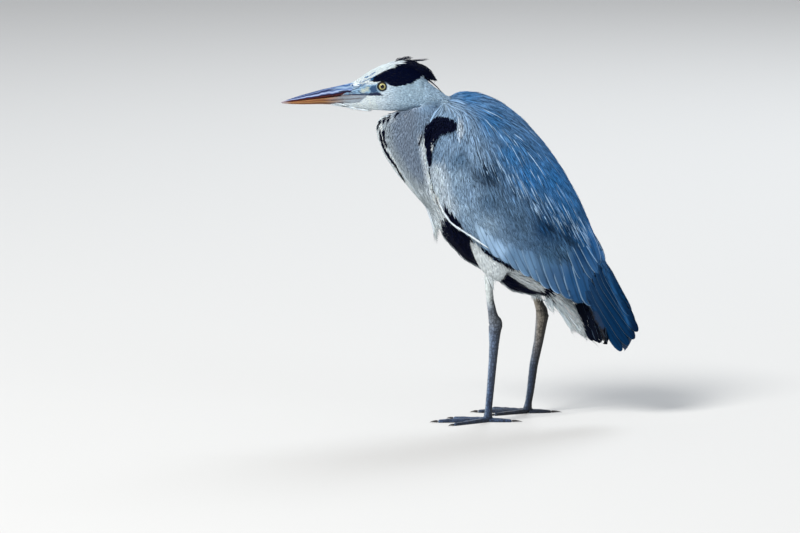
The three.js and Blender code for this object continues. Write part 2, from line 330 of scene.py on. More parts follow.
def nodesOf(*zones):
    return [name for zone in zones for name in zoneNodes[zone]]


def inZones(zones, *names):
    return np.isin(zones, [zoneNumber[name] for name in names])


def nodeTree(names):  # for the nearest face or the face that a ray hits on some nodes
    points, faces = [], []
    for name in names:
        mesh = nodes[name].data
        start = len(points)
        points += [vertex.co.copy() for vertex in mesh.vertices]
        faces += [[start + i for i in face.vertices] for face in mesh.polygons]
    return BVHTree.FromPolygons(points, faces)


fleshTree = nodeTree(nodesOf(*zoneNodes))
zoneFaces = [sum(len(nodes[name].data.polygons) for name in names) for names in zoneNodes.values()]
fleshZones = np.repeat(np.arange(len(zoneNodes)), zoneFaces)


def zonesAt(places):
    return fleshZones[[fleshTree.find_nearest(place)[2] for place in places.tolist()]]


# colours of the plumage, the same for skin and coat; places in millimetres, side view
plumageGain = 1.12
# the blues of these tints are partly painted light: the bluish shade light laid into the colours of a greyer
# bird
plumage = {
    "white": (228, 240, 249),
    "cheek": (168, 194, 212),
    "ash": (142, 172, 202),
    "silver": (156, 184, 209),
    "ashBlue": (92, 124, 156),
    "mantle": (62, 122, 178),
    "backBlue": (36, 90, 144),
    "scapular": (56, 122, 184),
    "tertial": (20, 60, 102),
    "slateMid": (72, 106, 138),
    "slateGrey": (56, 88, 124),
    "shade": (44, 72, 102),
    # painted shade, for the dark beneath the long shoulder feathers
    "frontPale": (204, 220, 233),
    "slate": (30, 72, 114),
    "deepSlate": (24, 58, 94),
    "lilac": (130, 146, 166),
    "lilacPale": (176, 188, 194),
    "plume": (172, 206, 238),
    "ink": (0, 6, 34),
    "thighWhite": (226, 234, 237),
    "ventWhite": (224, 236, 242),
    "tail": (4, 10, 26),
    "primary": (2, 44, 80),
}
tint = {name: fromScreen(*value) * plumageGain for name, value in plumage.items()}
# "shade" at (42, 402) and "slate" at (132, 316) and (172, 312) are painted shade below the long shoulder
# feathers' edge
wingTints = [  # feather tracts of the closed wing and back
    ((-28, 512), "silver"), ((-5, 503), "ash"), ((14, 521), "mantle"), ((50, 480), "mantle"),
    ((80, 430), "mantle"), ((10, 465), "ash"), ((22, 432), "ash"), ((110, 395), "scapular"),
    ((150, 390), "scapular"), ((165, 345), "scapular"), ((200, 302), "scapular"), ((-15, 440), "ash"),
    ((-2, 425), "ashBlue"), ((-8, 392), "silver"), ((42, 402), "shade"), ((14, 368), "ash"),
    ((48, 355), "ashBlue"), ((0, 345), "silver"), ((40, 318), "silver"), ((88, 335), "ashBlue"),
    ((100, 310), "ashBlue"), ((62, 281), "ash"), ((84, 272), "ashBlue"), ((104, 258), "ashBlue"),
    ((140, 268), "slateMid"), ((150, 238), "slateGrey"), ((163, 274), "slateMid"), ((132, 316), "slate"),
    ((172, 312), "slate"), ((206, 292), "backBlue"), ((190, 270), "tertial"), ((180, 232), "slate"),
    ((194, 206), "slate"),
]
scapularEdge = [(14, 410), (28, 403), (69, 384), (101, 354), (127, 328), (158, 305), (189, 291), (207, 271)]
crownStripe = [
    (-145, 547.5), (-134, 553.5), (-126, 558), (-117, 562), (-108, 565.5), (-99, 568.5), (-92, 571),
    (-86, 576), (-80, 581), (-40, 581), (-50, 556), (-60, 551), (-67, 547), (-77, 541), (-89, 538),
    (-101, 535.5), (-110, 537), (-117, 539.8), (-123, 542.5), (-131, 541.5), (-138, 542), (-144, 545),
]
carpalPatch = [
    (-57, 476), (-42, 486), (-30, 490.5), (-17, 489.5), (-8, 483), (-7, 476), (-15, 470.5), (-28, 466),
    (-38, 456), (-43, 444), (-44, 424), (-46, 412), (-53, 432), (-59, 452), (-59, 468),
]
flankWhite = [(72, 260), (100, 244), (142, 219), (126, 203), (97, 219), (76, 236)]
throatLine = [
    (-127, 470), (-125.5, 456), (-122, 442), (-115.5, 431), (-104, 412), (-92, 392), (-82, 380), (-68, 358),
]
wingEdge = [
    (-62, 520), (-60, 470), (-53, 424), (-46, 391), (-41, 366), (-30, 340), (-17, 321), (3, 309), (34, 288),
    (82, 255), (119, 232), (157, 210), (187, 190), (205, 186), (217, 164),
]
wingFront = [(-59, 460), (-53, 424), (-46, 391), (-41, 366), (-32, 343)]
edgeShade = [(-26, 352), (-20, 340), (-8, 331), (4, 313), (-4, 314), (-16, 325), (-27, 342)]
breastEdge = ((283, 305, 333, 370), (-37, -36, -39, -46))  # heights, and how far back the white reaches


def overScapulars(x, z):  # how far down the lie the long shoulder feathers' lower edge is
    edgeX, edgeZ = np.array(scapularEdge).T
    reach = np.zeros(len(x))
    for _ in range(6):
        reach = (z - np.interp(x + 0.44 * reach, edgeX, edgeZ)) / 0.9
    return reach


def wingColour(places, x, z):
    weights = np.stack([1 / (np.hypot(x - px, z - pz) ** 2.6 + 60) for (px, pz), _ in wingTints])
    colour = np.einsum("sn,sc->nc", weights, np.array([tint[name] for _, name in wingTints]))
    colour /= weights.sum(axis=0)[:, None]
    # painted shadow: a darker band just below the long shoulder feathers' lower edge, its strength varying
    # along the wing
    under = -overScapulars(x, z)
    under = ease(under, -3, 1) * (1 - ease(under, 9, 24))
    under = under * np.interp(x, (10, 35, 65, 82, 108, 124, 195, 210), (0, 0.3, 0.3, 0, 0, 0.6, 0.5, 0))
    front = onLine(x, z, wingFront[1:], 13, 36)
    band = onLine(x, z, wingEdge, 2.0, 3.4) * ease(-x, -36, -24) * ease(-z, -375, -360)
    dark = inOutline(x, z, edgeShade, -0.6, 0.4) * ease(np.abs(places[:, 1]), 0.050, 0.056)
    # painted highlight: a pale spot just behind the black mark at the bend of the wing
    paintedHighlight = 1 - ease(np.hypot((x + 1) / 7, (z - 470) / 20), 0.3, 1.2)
    return layered(
        colour * (1 - under)[:, None],
        (tint["frontPale"], 0.95 * front * (1 - ease(z, 405, 425))),
        (tint["white"], band),
        (tint["ink"], dark),
        (tint["white"], 0.6 * paintedHighlight))


def neckColour(places, x, z):
    behind = x - lineAt(z, throatLine)
    fringe = ease(x - lineAt(z, wingFront), -15, -5) * ease(-z, -466, -448)
    upper = blend(tint["lilac"], tint["ash"], ease(x, -84, -52))
    return layered(
        blend(tint["lilacPale"], tint["lilac"], ease(z, 350, 405)),
        (tint["ash"], 0.6 * ease(x, -84, -50) * ease(z, 400, 450)),
        (tint["lilacPale"], 0.7 * (1 - ease(behind, 4, 24))),
        (tint["white"], 1 - ease(behind, 1.0, 5.0)),
        (tint["white"], 0.85 * ease(z, 474, 486) * (1 - ease(x, -118, -98))),
        (tint["white"], 0.95 * fringe),
        (upper, ease(z, 487, 500) * ease(x, -100, -84)),
        (blend(tint["cheek"], tint["ash"], 0.3), ease(z, 500, 512) * ease(x, -78, -60)))


def headColour(places, x, z):
    return layered(
        blend(tint["white"], tint["cheek"], ease(x, -150, -85) * (1 - 0.8 * ease(z, 545, 558))),
        (tint["ash"], 0.3 * ease(x, -95, -60) * ease(-z, -535, -500)),
        (tint["ink"], inOutline(x, z, crownStripe, -0.5, 0.6)))


zonePainters = {
    "head": headColour, "nape": neckColour, "neck": neckColour,
    "shoulder": wingColour, "covert": wingColour, "flight": wingColour,
}
plainZones = {
    "thigh": "thighWhite", "vent": "ventWhite", "tail": "tail", "primary": "primary", "crest": "ink",
}


def plumageAt(places, zones):
    x, y, z = places.T * 1000
    colour = np.tile(tint["ink"], (len(places), 1))
    for zone, painter in zonePainters.items():
        here = inZones(zones, zone)
        if here.any():
            colour[here] = painter(places[here], x[here], z[here])
    for zone, name in plainZones.items():
        colour[inZones(zones, zone)] = tint[name]
    crown = inZones(zones, "crest") & (x < -92 + 0.5 * np.abs(y)) & (outlineDepth(x, z, crownStripe) < 0)
    colour[crown] = tint["white"]
    trunk = inZones(zones, "trunk")
    centre = (1 - ease(np.abs(y), 6, 11)) * ease(-z, -330, -300)
    breast = ease(np.interp(z, *breastEdge) - x, -2.5, 1.5) * ease(z, 284, 296)
    flank = inOutline(x, z, flankWhite, -1.5, 1.5) * ease(np.abs(y), 14, 20)
    colour[trunk] = layered(colour[trunk], (tint["lilacPale"], np.maximum(0.7 * centre, breast)[trunk]),
                            (tint["thighWhite"], flank[trunk]))
    wing = inZones(zones, "shoulder", "covert", "flight")
    locks = np.where(wing, 0.13, 0.02) * lockStreaks(places)
    patches = np.where(wing, 1.0, 0.3) * (0.07 * mottle(places, 0.006) + 0.05 * mottle(places, 0.0023))
    return colour * (1 + patches + locks)[:, None]


# the skin: body, head and legs remeshed, drawn in by the coat's depth and joined
eyeValues = {
    "centre": (-0.125, 0.0104, 0.5357),
    "ball": 0.008,
    "lidRadius": 0.0069,
    "lidThickness": 0.0014,
    "lidEdge": (0.0094, 0.0102),  # where the dark of the lid fades out, from the middle of the eye
    "featherless": 0.0092,  # no feathers closer than this to the middle of the eye
    "irisRim": (4.5, 5.3),  # millimetres from the middle of the eye
    "pupil": (3.0, 3.4),
}
skinValues = {
    "bodyVoxel": 0.0035,
    "headVoxel": 0.00108,
    "legVoxel": 0.00118,
    "overlap": 0.0005,  # closes the gaps between the solids
    "depth": {
        "head": 0.0011, "crest": 0.0012, "nape": 0.0014, "neck": 0.0022, "trunk": 0.0042,
        "shoulder": 0.0042, "covert": 0.0040, "flight": 0.0034, "primary": 0.0022, "tail": 0.0020,
        "vent": 0.0030, "thigh": 0.0028, "leg": 0.0,
    },
}
gapeLine = [(-178, 523), (-165, 522.4), (-150, 522.2), (-132, 521.6), (-123, 521)]
lores = [
    (-192, 537), (-176, 536), (-166, 535.5), (-152, 538.5), (-140, 538.8), (-132, 541), (-125, 544),
    (-118, 541), (-117.5, 534), (-122, 528.5), (-130, 527), (-124, 520.8), (-150, 521), (-182, 519),
    (-192, 519),
]
mandible = [(-206, 522), (-149, 521.5), (-155, 516), (-162, 510), (-180, 508.3), (-206, 507.5)]
mandibleSeams = [[(-206, 512.5), (-170, 515.5), (-160, 517)], [(-206, 508), (-172, 510)]]
loresShade = [(-149, 522), (-144, 526), (-140, 525.5), (-134, 527), (-128, 525.5), (-124, 520.5), (-149, 521)]
loresBlue = [(-146, 533), (-141, 537), (-134, 537), (-132, 528), (-140, 525.5), (-143, 527)]
loresCream = [
    (-160, 527), (-158, 532), (-153, 531.5), (-149.5, 536), (-145.5, 534), (-147, 530), (-144.5, 527.5),
    (-151, 528), (-155, 525),
]
loresStreaks = [
    [(-190, 522.2), (-178, 523.2)], [(-184, 527.5), (-172, 530), (-162, 534)],
    [(-178, 525.5), (-168, 526.5)], [(-163.5, 528.6), (-159, 524.8)],
    [(-182, 534), (-168, 534.4), (-156, 536.6)], [(-158, 524.6), (-146, 524.4)],
]


def eyeDistance(places):
    return np.linalg.norm(np.abs(places) * (0, 1, 0) + places * (1, 0, 1) - eyeValues["centre"], axis=1)


def bareFace(places):  # 1 on the bare skin between bill and eye
    x, y, z = places.T * 1000
    return inOutline(x, z, lores, -1.0, 0.6)


def overMandible(places):  # 1 where the horn of the lower bill shows through
    x, y, z = places.T * 1000
    return inOutline(x, z, mandible, -0.4, 0.8)


def coatDepths(mesh, rounds):  # how far in the skin lies, evened out between the tracts
    depthOf = np.array([skinValues["depth"][zone] for zone in zoneNodes])
    return blurOverEdges(mesh, depthOf[zonesAt(vertexPlaces(mesh))], rounds) + skinValues["overlap"]


def makeBodySkin():
    names = nodesOf(*(zone for zone in zoneNodes if zone not in ("head", "crest", "leg")))
    body = growTogether("bodySkin", names, skinValues["overlap"], skinValues["bodyVoxel"], rounds=6)
    drawIn(body, coatDepths(body.data, rounds=10))
    applyModifier(body, "SMOOTH", factor=0.5, iterations=3)
    return body


def makeLid(side):
    x, y, z = eyeValues["centre"]
    radius = eyeValues["lidRadius"]
    out = y + math.sqrt(eyeValues["ball"] ** 2 - radius ** 2) - 0.0002
    bpy.ops.mesh.primitive_torus_add(
        location=(x, sideSign[side] * out, z), rotation=(math.pi / 2, 0, 0), major_radius=radius,
        minor_radius=eyeValues["lidThickness"], major_segments=64, minor_segments=16)
    lid = bpy.context.object
    lid.scale = (1.04, 0.94, 1)
    return settle(lid, "lid_" + side)


def makeHeadSkin():
    names = nodesOf("head", "crest", "nape")
    head = growTogether("headSkin", names, skinValues["overlap"], skinValues["headVoxel"])
    away = eyeDistance(vertexPlaces(head.data))
    applyModifier(head, "SMOOTH", factor=0.5, iterations=10)
    places = vertexPlaces(head.data)
    x, y, z = places.T * 1000
    bareAmount, horn = bareFace(places), overMandible(places)
    crease = onLine(x, z, gapeLine, 0.3, 1.3)
    folds = bareAmount * np.sin(z * 2.2 + 0.5 * np.sin(x * 0.5)) * 0.10
    rings = bareAmount * 0.18 * np.sin(away * 1000 * 3.4) * ease(-away, -0.0135, -0.0095)
    seam = np.max([onLine(x, z, line, 0.2, 0.9) for line in mandibleSeams], axis=0)
    depths = coatDepths(head.data, rounds=16) * (1 - bareAmount * 0.8) * (1 - 0.75 * horn)
    drawIn(head, depths + (0.55 * crease * ease(-x, 118, 126) + folds + rings + 0.3 * seam * horn) * mm)
    return joinPieces("headSkin", [head, *(makeLid(side) for side in sideSign)])


legValues = {
    "heels": {"left": (0.0565, -0.042, 0.157), "right": (0.1315, 0.042, 0.163)},
    "heelSize": (0.0092, 0.0070, 0.0140),
    "scaleHeight": 0.15,  # millimetres
    "fullness": 0.0008,
    "clawVoxel": 0.0004,
}


def makeHeel(side):
    bpy.ops.mesh.primitive_uv_sphere_add(
        segments=24, ring_count=16, radius=1, location=legValues["heels"][side])
    heel = bpy.context.object
    heel.scale = legValues["heelSize"]
    return settle(heel, "heel_" + side)


def scaleWaves(places):  # broad scutes down the front of the shank and along each toe
    x, y, z = places.T * 1000
    foot = np.hypot(x - np.where(y < 0, 52, 116), np.abs(y) - 42)
    wave = np.where(z < 9, np.sin(foot * 1.25), np.sin(z * 0.85))
    return np.abs(wave) ** 0.5


def makeLegSkin():
    grow, voxel = legValues["fullness"], skinValues["legVoxel"]
    heels = [makeHeel(side) for side in sideSign]
    legs = growTogether("legSkin", zoneNodes["leg"], grow, voxel, rounds=6, extras=heels)
    height = legValues["scaleHeight"]
    drawIn(legs, (height - height * scaleWaves(vertexPlaces(legs.data))) * mm)
    places = vertexPlaces(legs.data)
    places[:, 2] = np.maximum(places[:, 2], 0.0)
    setVertexPlaces(legs.data, places)
    return legs


def makeSkin():
    parts = [makeBodySkin(), makeHeadSkin(), makeLegSkin()]
    isLeg = np.repeat([0, 0, 1], [len(part.data.polygons) for part in parts]).astype(np.int32)
    skin = joinPieces("skin", parts)
    makeActive(skin)
    bpy.ops.object.mode_set(mode="EDIT")
    bpy.ops.mesh.select_all(action="SELECT")
    bpy.ops.uv.smart_project(angle_limit=math.radians(66), island_margin=0.002)
    bpy.ops.object.mode_set(mode="OBJECT")
    skin.data.uv_layers[0].name = "OFBake"
    return skin, isLeg


skin, isLegFace = makeSkin()
print("skin made")


# shaders
def feed(tree, node, inputs):  # sets a node's inputs by name or number, or links another's output to them
    for key, value in inputs.items():
        if isinstance(value, bpy.types.NodeSocket):
            tree.links.new(value, node.inputs[key])
        elif value is not None:
            node.inputs[key].default_value = value
    return node


def addNode(tree, kind, inputs=None, **values):
    node = tree.nodes.new("ShaderNode" + kind)
    for key, value in values.items():
        setattr(node, key, value)
    return feed(tree, node, inputs or {})


def newMaterial(name, roughness):
    material = bpy.data.materials.new(name)
    material.use_nodes = True
    tree = material.node_tree
    return material, tree, feed(tree, tree.nodes["Principled BSDF"], {"Roughness": roughness})


def mathNode(tree, operation, first, second=None, clamp=False):
    return addNode(tree, "Math", {0: first, 1: second}, operation=operation, use_clamp=clamp).outputs[0]


def times(tree, first, second, clamp=False):
    return mathNode(tree, "MULTIPLY", first, second, clamp)


def plus(tree, first, second):
    return mathNode(tree, "ADD", first, second)


def minus(tree, first, second):
    return mathNode(tree, "SUBTRACT", first, second)


def vectorNode(tree, operation, first, second=None):
    return addNode(tree, "VectorMath", {0: first, 1: second}, operation=operation).outputs


def easeNode(tree, value, low, high, fromValue=0.0, toValue=1.0):
    inputs = {0: value, 1: low, 2: high, 3: fromValue, 4: toValue}
    return addNode(tree, "MapRange", inputs, interpolation_type="SMOOTHSTEP").outputs[0]


def scaleColour(tree, colour, amount):
    return addNode(tree, "VectorMath", {0: colour, "Scale": amount}, operation="SCALE").outputs[0]


def mixColour(tree, amount, first, second):
    return addNode(tree, "Mix", {0: amount, 6: first, 7: second}, data_type="RGBA").outputs[2]


def makeGroup(name, inputs):  # each group gives a colour, a height for the bump and a roughness
    group = bpy.data.node_groups.new(name, "ShaderNodeTree")
    for socketName, kind, value in inputs:
        socket = group.interface.new_socket(socketName, in_out="INPUT", socket_type="NodeSocket" + kind)
        if value is not None:
            socket.default_value = value
    for socketName, kind in (("Colour", "Color"), ("Height", "Float"), ("Roughness", "Float")):
        group.interface.new_socket(socketName, in_out="OUTPUT", socket_type="NodeSocket" + kind)
    return group, group.nodes.new("NodeGroupInput").outputs, group.nodes.new("NodeGroupOutput")


def makeVaneGroup():  # barbs, shaft and pale rim of a feather, from its own across and along map
    group, given, end = makeGroup("featherVane", [
        ("Vane", "Vector", None), ("Colour", "Color", None), ("Barbs", "Float", 40.0),
        ("Barb Contrast", "Float", 0.2), ("Slant", "Float", 3.0), ("Shaft", "Float", 0.3),
        ("Pale Rim", "Float", 0.2), ("Rim Start", "Float", 0.86),
        ("Rim Colour", "Color", (0.36, 0.56, 0.80, 1)), ("Streaks", "Float", 0.2)])
    split = addNode(group, "SeparateXYZ", {0: given["Vane"]}).outputs
    across = mathNode(group, "FRACT", split["X"])
    aside = times(group, mathNode(group, "ABSOLUTE", minus(group, across, 0.5)), 2.0)
    sweep = times(group, aside, given["Slant"])
    phase = minus(group, times(group, split["Y"], given["Barbs"]), sweep)
    barb = mathNode(group, "SINE", times(group, phase, 6.283))
    spot = addNode(group, "CombineXYZ", {0: times(group, split["X"], 9.0), 1: times(group, phase, 0.12)})
    noise = {"Vector": spot.outputs[0], "Scale": 1.0, "Detail": 3.0, "Roughness": 0.6}
    uneven = addNode(group, "TexNoise", noise).outputs["Fac"]
    streak = minus(group, uneven, 0.5)
    shaft = easeNode(group, aside, 0.16, 0.04)
    rim = times(group, minus(group, aside, given["Rim Start"]), 9.0, clamp=True)
    light = plus(group, 1.0, times(group, barb, given["Barb Contrast"]))
    light = plus(group, light, times(group, streak, times(group, given["Streaks"], 4.0)))
    light = minus(group, light, times(group, shaft, given["Shaft"]))
    colour = scaleColour(group, given["Colour"], mathNode(group, "MAXIMUM", light, 0.05))
    rimAmount = times(group, rim, given["Pale Rim"])
    height = plus(group, times(group, barb, 0.3), times(group, streak, 1.2))
    feed(group, end, {
        "Colour": mixColour(group, rimAmount, colour, given["Rim Colour"]),
        "Height": plus(group, height, shaft),
        "Roughness": easeNode(group, uneven, 0.3, 0.7, 0.5, 0.78),
    })
    return group


def makeGrainGroup():  # uneven colour and fine grain on Object coordinates, stretched by its own scale
    group, given, end = makeGroup("hornGrain", [
        ("Stretch", "Vector", (1, 1, 1)), ("Colour", "Color", None), ("Fine", "Float", 900.0),
        ("Contrast", "Float", 0.3)])
    place = addNode(group, "TexCoord").outputs["Object"]
    stretched = vectorNode(group, "MULTIPLY", place, given["Stretch"])[0]
    fineNoise = {"Vector": stretched, "Scale": given["Fine"], "Detail": 4.0, "Roughness": 0.62}
    fine = addNode(group, "TexNoise", fineNoise).outputs["Fac"]
    broad = addNode(group, "TexNoise", {"Vector": stretched, "Scale": 120.0, "Detail": 2.0}).outputs["Fac"]
    both = minus(group, plus(group, fine, broad), 1.0)
    light = plus(group, 1.0, times(group, both, times(group, given["Contrast"], 3.0)))
    feed(group, end, {
        "Colour": scaleColour(group, given["Colour"], mathNode(group, "MAXIMUM", light, 0.05)),
        "Height": fine,
        "Roughness": easeNode(group, broad, 0.3, 0.7, 0.3, 0.5),
    })
    return group


vaneGroup = makeVaneGroup()
grainGroup = makeGrainGroup()


def addBump(tree, shader, height, strength, distance):
    bump = addNode(tree, "Bump", {"Height": height, "Strength": strength, "Distance": distance})
    feed(tree, shader, {"Normal": bump.outputs[0]})


def paintedColour(tree, name):
    return addNode(tree, "Attribute", attribute_name=name).outputs["Color"]


def linkGroup(tree, shader, group, attribute, bump, depth):  # the painted colour, through a group
    feed(tree, group, {"Colour": paintedColour(tree, attribute)})
    feed(tree, shader, {"Base Color": group.outputs["Colour"], "Roughness": group.outputs["Roughness"]})
    addBump(tree, shader, group.outputs["Height"], bump, depth)


def makeFeatherMaterial(name, bump=0.5, gloss=0.08, **values):
    material, tree, shader = newMaterial(name, 0.65)
    vane = addNode(tree, "UVMap", uv_map="vane").outputs[0]
    group = addNode(tree, "Group", node_tree=vaneGroup)
    feed(tree, group, {"Vane": vane, **values})
    linkGroup(tree, shader, group, "plumage", bump, 0.0002)
    feed(tree, shader, {"Specular IOR Level": gloss})
    return material


def makeGrainMaterial(name, attribute, fine, contrast, bump, stretch=(1, 1, 1), coat=0.0, gloss=0.3):
    material, tree, shader = newMaterial(name, 0.4)
    group = addNode(tree, "Group", node_tree=grainGroup)
    feed(tree, group, {"Fine": fine, "Stretch": stretch, "Contrast": contrast})
    linkGroup(tree, shader, group, attribute, bump, 0.0004)
    feed(tree, shader, {"Coat Weight": coat, "Coat Roughness": 0.25, "Specular IOR Level": gloss})
    return material


def makeScaleMaterial(name, attribute):  # small horny plates with dark seams
    material, tree, shader = newMaterial(name, 0.5)
    place = addNode(tree, "TexCoord").outputs["Object"]
    flattened = vectorNode(tree, "MULTIPLY", place, (1, 1, 0.62))[0]
    cells = {"Vector": flattened, "Scale": 280.0, "Randomness": 0.7}
    plates = addNode(tree, "TexVoronoi", cells, feature="DISTANCE_TO_EDGE").outputs["Distance"]
    tones = addNode(tree, "TexVoronoi", cells, feature="F1").outputs["Color"]
    tone = addNode(tree, "SeparateColor", {0: tones}).outputs[0]
    painted = paintedColour(tree, attribute)
    green = addNode(tree, "SeparateColor", {0: painted}).outputs[1]
    seam = easeNode(tree, green, 0.12, 0.45, 0.65, 0.15)  # fainter on the pale upper leg
    gap = easeNode(tree, plates, 0.02, 0.17, 1.0, 0.0)
    plate = minus(tree, 1.0, times(tree, gap, seam))
    light = times(tree, plate, plus(tree, times(tree, tone, 0.4), 0.85))
    feed(tree, shader, {"Base Color": scaleColour(tree, painted, light), "Specular IOR Level": 0.3})
    addBump(tree, shader, plate, 0.5, 0.0005)
    return material


featherLooks = {
    "down": {"bump": 0.2, "gloss": 0.05, "Streaks": 0.05, "Shaft": 0.0, "Barbs": 5.0,
             "Barb Contrast": 0.02, "Pale Rim": 0.0},
    "soft": {"Streaks": 0.16, "Shaft": 0.05, "Barbs": 5.0, "Barb Contrast": 0.05, "Pale Rim": 0.0},
    "wing": {"Streaks": 0.14, "Shaft": 0.10, "Barbs": 16.0, "Barb Contrast": 0.07, "Pale Rim": 0.12},
    "blade": {"gloss": 0.05, "Streaks": 0.12, "Shaft": 0.35, "Slant": 6.0, "Barbs": 70.0,
              "Barb Contrast": 0.06, "Pale Rim": 0.62, "Rim Start": 0.78},
    "primary": {"gloss": 0.05, "Streaks": 0.12, "Shaft": 0.3, "Slant": 6.0, "Barbs": 90.0,
                "Barb Contrast": 0.08, "Pale Rim": 0.25, "Rim Start": 0.84},
    "cover": {"bump": 0.3, "gloss": 0.03, "Streaks": 0.12, "Shaft": 0.10, "Slant": 4.0, "Barbs": 22.0,
              "Barb Contrast": 0.05, "Pale Rim": 0.08},
    "silver": {"Streaks": 0.08, "Shaft": 0.0, "Barbs": 30.0, "Barb Contrast": 0.05, "Pale Rim": 0.2},
}
feather = {name: makeFeatherMaterial(name + "Plumage", **look) for name, look in featherLooks.items()}
skinUnderCoat = makeGrainMaterial("skinUnderCoat", "plumage", fine=700.0, contrast=0.22, bump=0.25)
legScales = makeScaleMaterial("legScales", "plumage")
print("feather shaders made")


# colours of the bare parts
def allFromScreen(colours):
    return {name: fromScreen(*value) for name, value in colours.items()}


bare = allFromScreen({
    "lores": (84, 122, 158),
    "loresPale": (158, 188, 208),
    "loresCream": (200, 204, 176),
    "loresGreen": (126, 158, 132),
    "loresBlue": (14, 52, 92),
    "loresDark": (10, 26, 58),
    "lid": (8, 10, 16),
    "legPale": (182, 190, 190),
    # painted light, for the leg edges that face the lamp
    "legLitEdge": (150, 168, 186),
    "shinFar": (172, 160, 140),
    "heel": (112, 116, 118),
    "leg": (88, 104, 130),
    "legDark": (54, 74, 106),
    "legCrack": (22, 27, 34),
    "claw": (48, 44, 44),
})
billTint = allFromScreen({
    "upperBase": (44, 84, 138),
    "upperBasePale": (152, 182, 212),
    "lower": (124, 74, 42),
    "lowerPale": (164, 122, 78),
    "lowerDark": (66, 44, 34),
    "lowerBase": (142, 154, 166),
    "tip": (182, 176, 186),
    "slit": (14, 12, 24),
})
# the pale bands at 0.43 to 0.62 and at 0.94 are painted highlights along the upper bill
upperBands = [  # height within the upper half, colour
    (0.0, (84, 36, 40)), (0.10, (108, 50, 48)), (0.20, (44, 18, 34)), (0.34, (30, 28, 64)),
    (0.43, (106, 122, 170)), (0.54, (176, 192, 222)), (0.62, (96, 118, 166)), (0.70, (10, 26, 72)),
    (0.86, (12, 32, 84)), (0.94, (116, 138, 180)), (1.0, (60, 80, 124)),
]
billValues = {
    "voxel": 0.00055,
    "closeGap": 0.00035,
    "gape": ((-287, -240, -172, -150), (509.5, 514.5, 522.5, 523.5)),  # heights along the bill
    "ridge": ((-287, -254, -222, -187, -172), (510.5, 518.7, 528, 537, 540)),
    "keel": ((-287, -254, -214, -170), (509, 505.6, 504.8, 503)),
    "groove": [(-240, 519.5), (-200, 525.6), (-178, 528.3)],
    "nostril": [(-192, 526.6), (-180, 528.2)],
    "nostrilShade": [(-194, 526.6), (-179, 528.3)],
    "seam": [(-206, 512.5), (-170, 515.5), (-158, 517)],
}


def billShare(x, z):  # height within each half of the bill, 0 at the gape
    gape, ridge, keel = (np.interp(x, *billValues[line]) for line in ("gape", "ridge", "keel"))
    return (z - gape) / (ridge - gape + 0.5), (gape - z) / (gape - keel + 0.5)


def upperBillColour(places):
    x, y, z = places.T * 1000
    up, _ = billShare(x, z)
    up = up + 0.03 * np.sin(x * 0.21) + 0.02 * np.sin(x * 0.55 + 1)
    levels, colours = zip(*upperBands)
    bands = np.array([fromScreen(*colour) for colour in colours])
    colour = np.stack([np.interp(up, levels, channel) for channel in bands.T], axis=1)
    ripple = 0.5 + 0.5 * np.sin(up * 19 + 0.10 * x + 0.8 * np.sin(x * 0.33))
    return layered(
        colour,
        (blend(billTint["upperBase"], billTint["upperBasePale"], ripple),
         0.75 * ease(x, -214, -190) * ease(up, 0.36, 0.5)),
        (billTint["tip"], 0.7 * ease(-x, 272, 285)),
        (billTint["slit"], 0.9 * onLine(x, z, billValues["nostrilShade"], 0.4, 1.2)))


def lowerBillColour(places):
    x, y, z = places.T * 1000
    _, down = billShare(x, z)
    lines = 0.5 + 0.5 * np.sin(down * 15 + 0.5 * np.sin(x * 0.16))
    base = 0.5 * ease(x, -222, -190) + 0.5 * ease(x + 1.1 * (z - 512), -200, -176)
    return layered(
        blend(billTint["lower"], billTint["lowerPale"], 0.8 * lines),
        (billTint["lowerDark"], 0.55 * ease(x, -245, -205) * (1 - lines)),
        (billTint["lowerBase"] * (0.78 + 0.3 * lines)[:, None], base),
        (billTint["lowerDark"], 0.7 * onLine(x, z, billValues["seam"], 0.3, 1.0)),
        (billTint["tip"], 0.6 * ease(-x, 268, 284)),
        (billTint["lowerDark"], 0.8 * (1 - ease(down, 0.0, 0.22))))


def legColour(places, normals):
    x, y, z = places.T * 1000
    front, far = ease(-normals[:, 0], -0.6, 0.6), y > 0
    shank = blend(bare["leg"], bare["legDark"], ease(-z, -120, -20))
    shin = np.where(far[:, None], bare["shinFar"], bare["legPale"])
    heel = np.exp(-((z - 168) / 20) ** 2)
    crease = np.exp(-((z - np.where(far, 149, 138) - 0.15 * x) / 1.3) ** 2)
    # painted light: paler edges facing forward, towards the key lamp, below the heel
    edge = ease(-normals[:, 0], 0.3, 0.95) * ease(-z, -170, -140)
    colour = layered(
        shank * np.where(far, 0.5, 1.0)[:, None],
        (shin, np.where(far, 0.8 * ease(z, 70, 170), ease(z, 172, 205))),
        (bare["heel"], np.where(far, 0.25, 0.7) * heel),
        (bare["legCrack"], 0.45 * (1 - ease(scaleWaves(places), 0.2, 0.6)) * (z < 12)),
        (bare["legCrack"], 0.5 * crease),
        (bare["legLitEdge"] * np.where(far, 0.6, 0.8)[:, None], 0.55 * edge))
    # painted light and shade by which way the surface faces: lighter facing forward, darker facing back, the
    # far leg with more contrast and the back edge darker below the heel
    shade = np.where(far, 0.12 + 1.25 * front, 0.30 + 0.95 * front + 0.35 * ease(z, 190, 215) * (1 - front))
    shade = shade * (1 - 0.6 * ease(normals[:, 0], 0.35, 0.9) * ease(-z, -205, -190))
    return colour * (shade * (1 + 0.12 * mottle(places, 0.005)))[:, None]


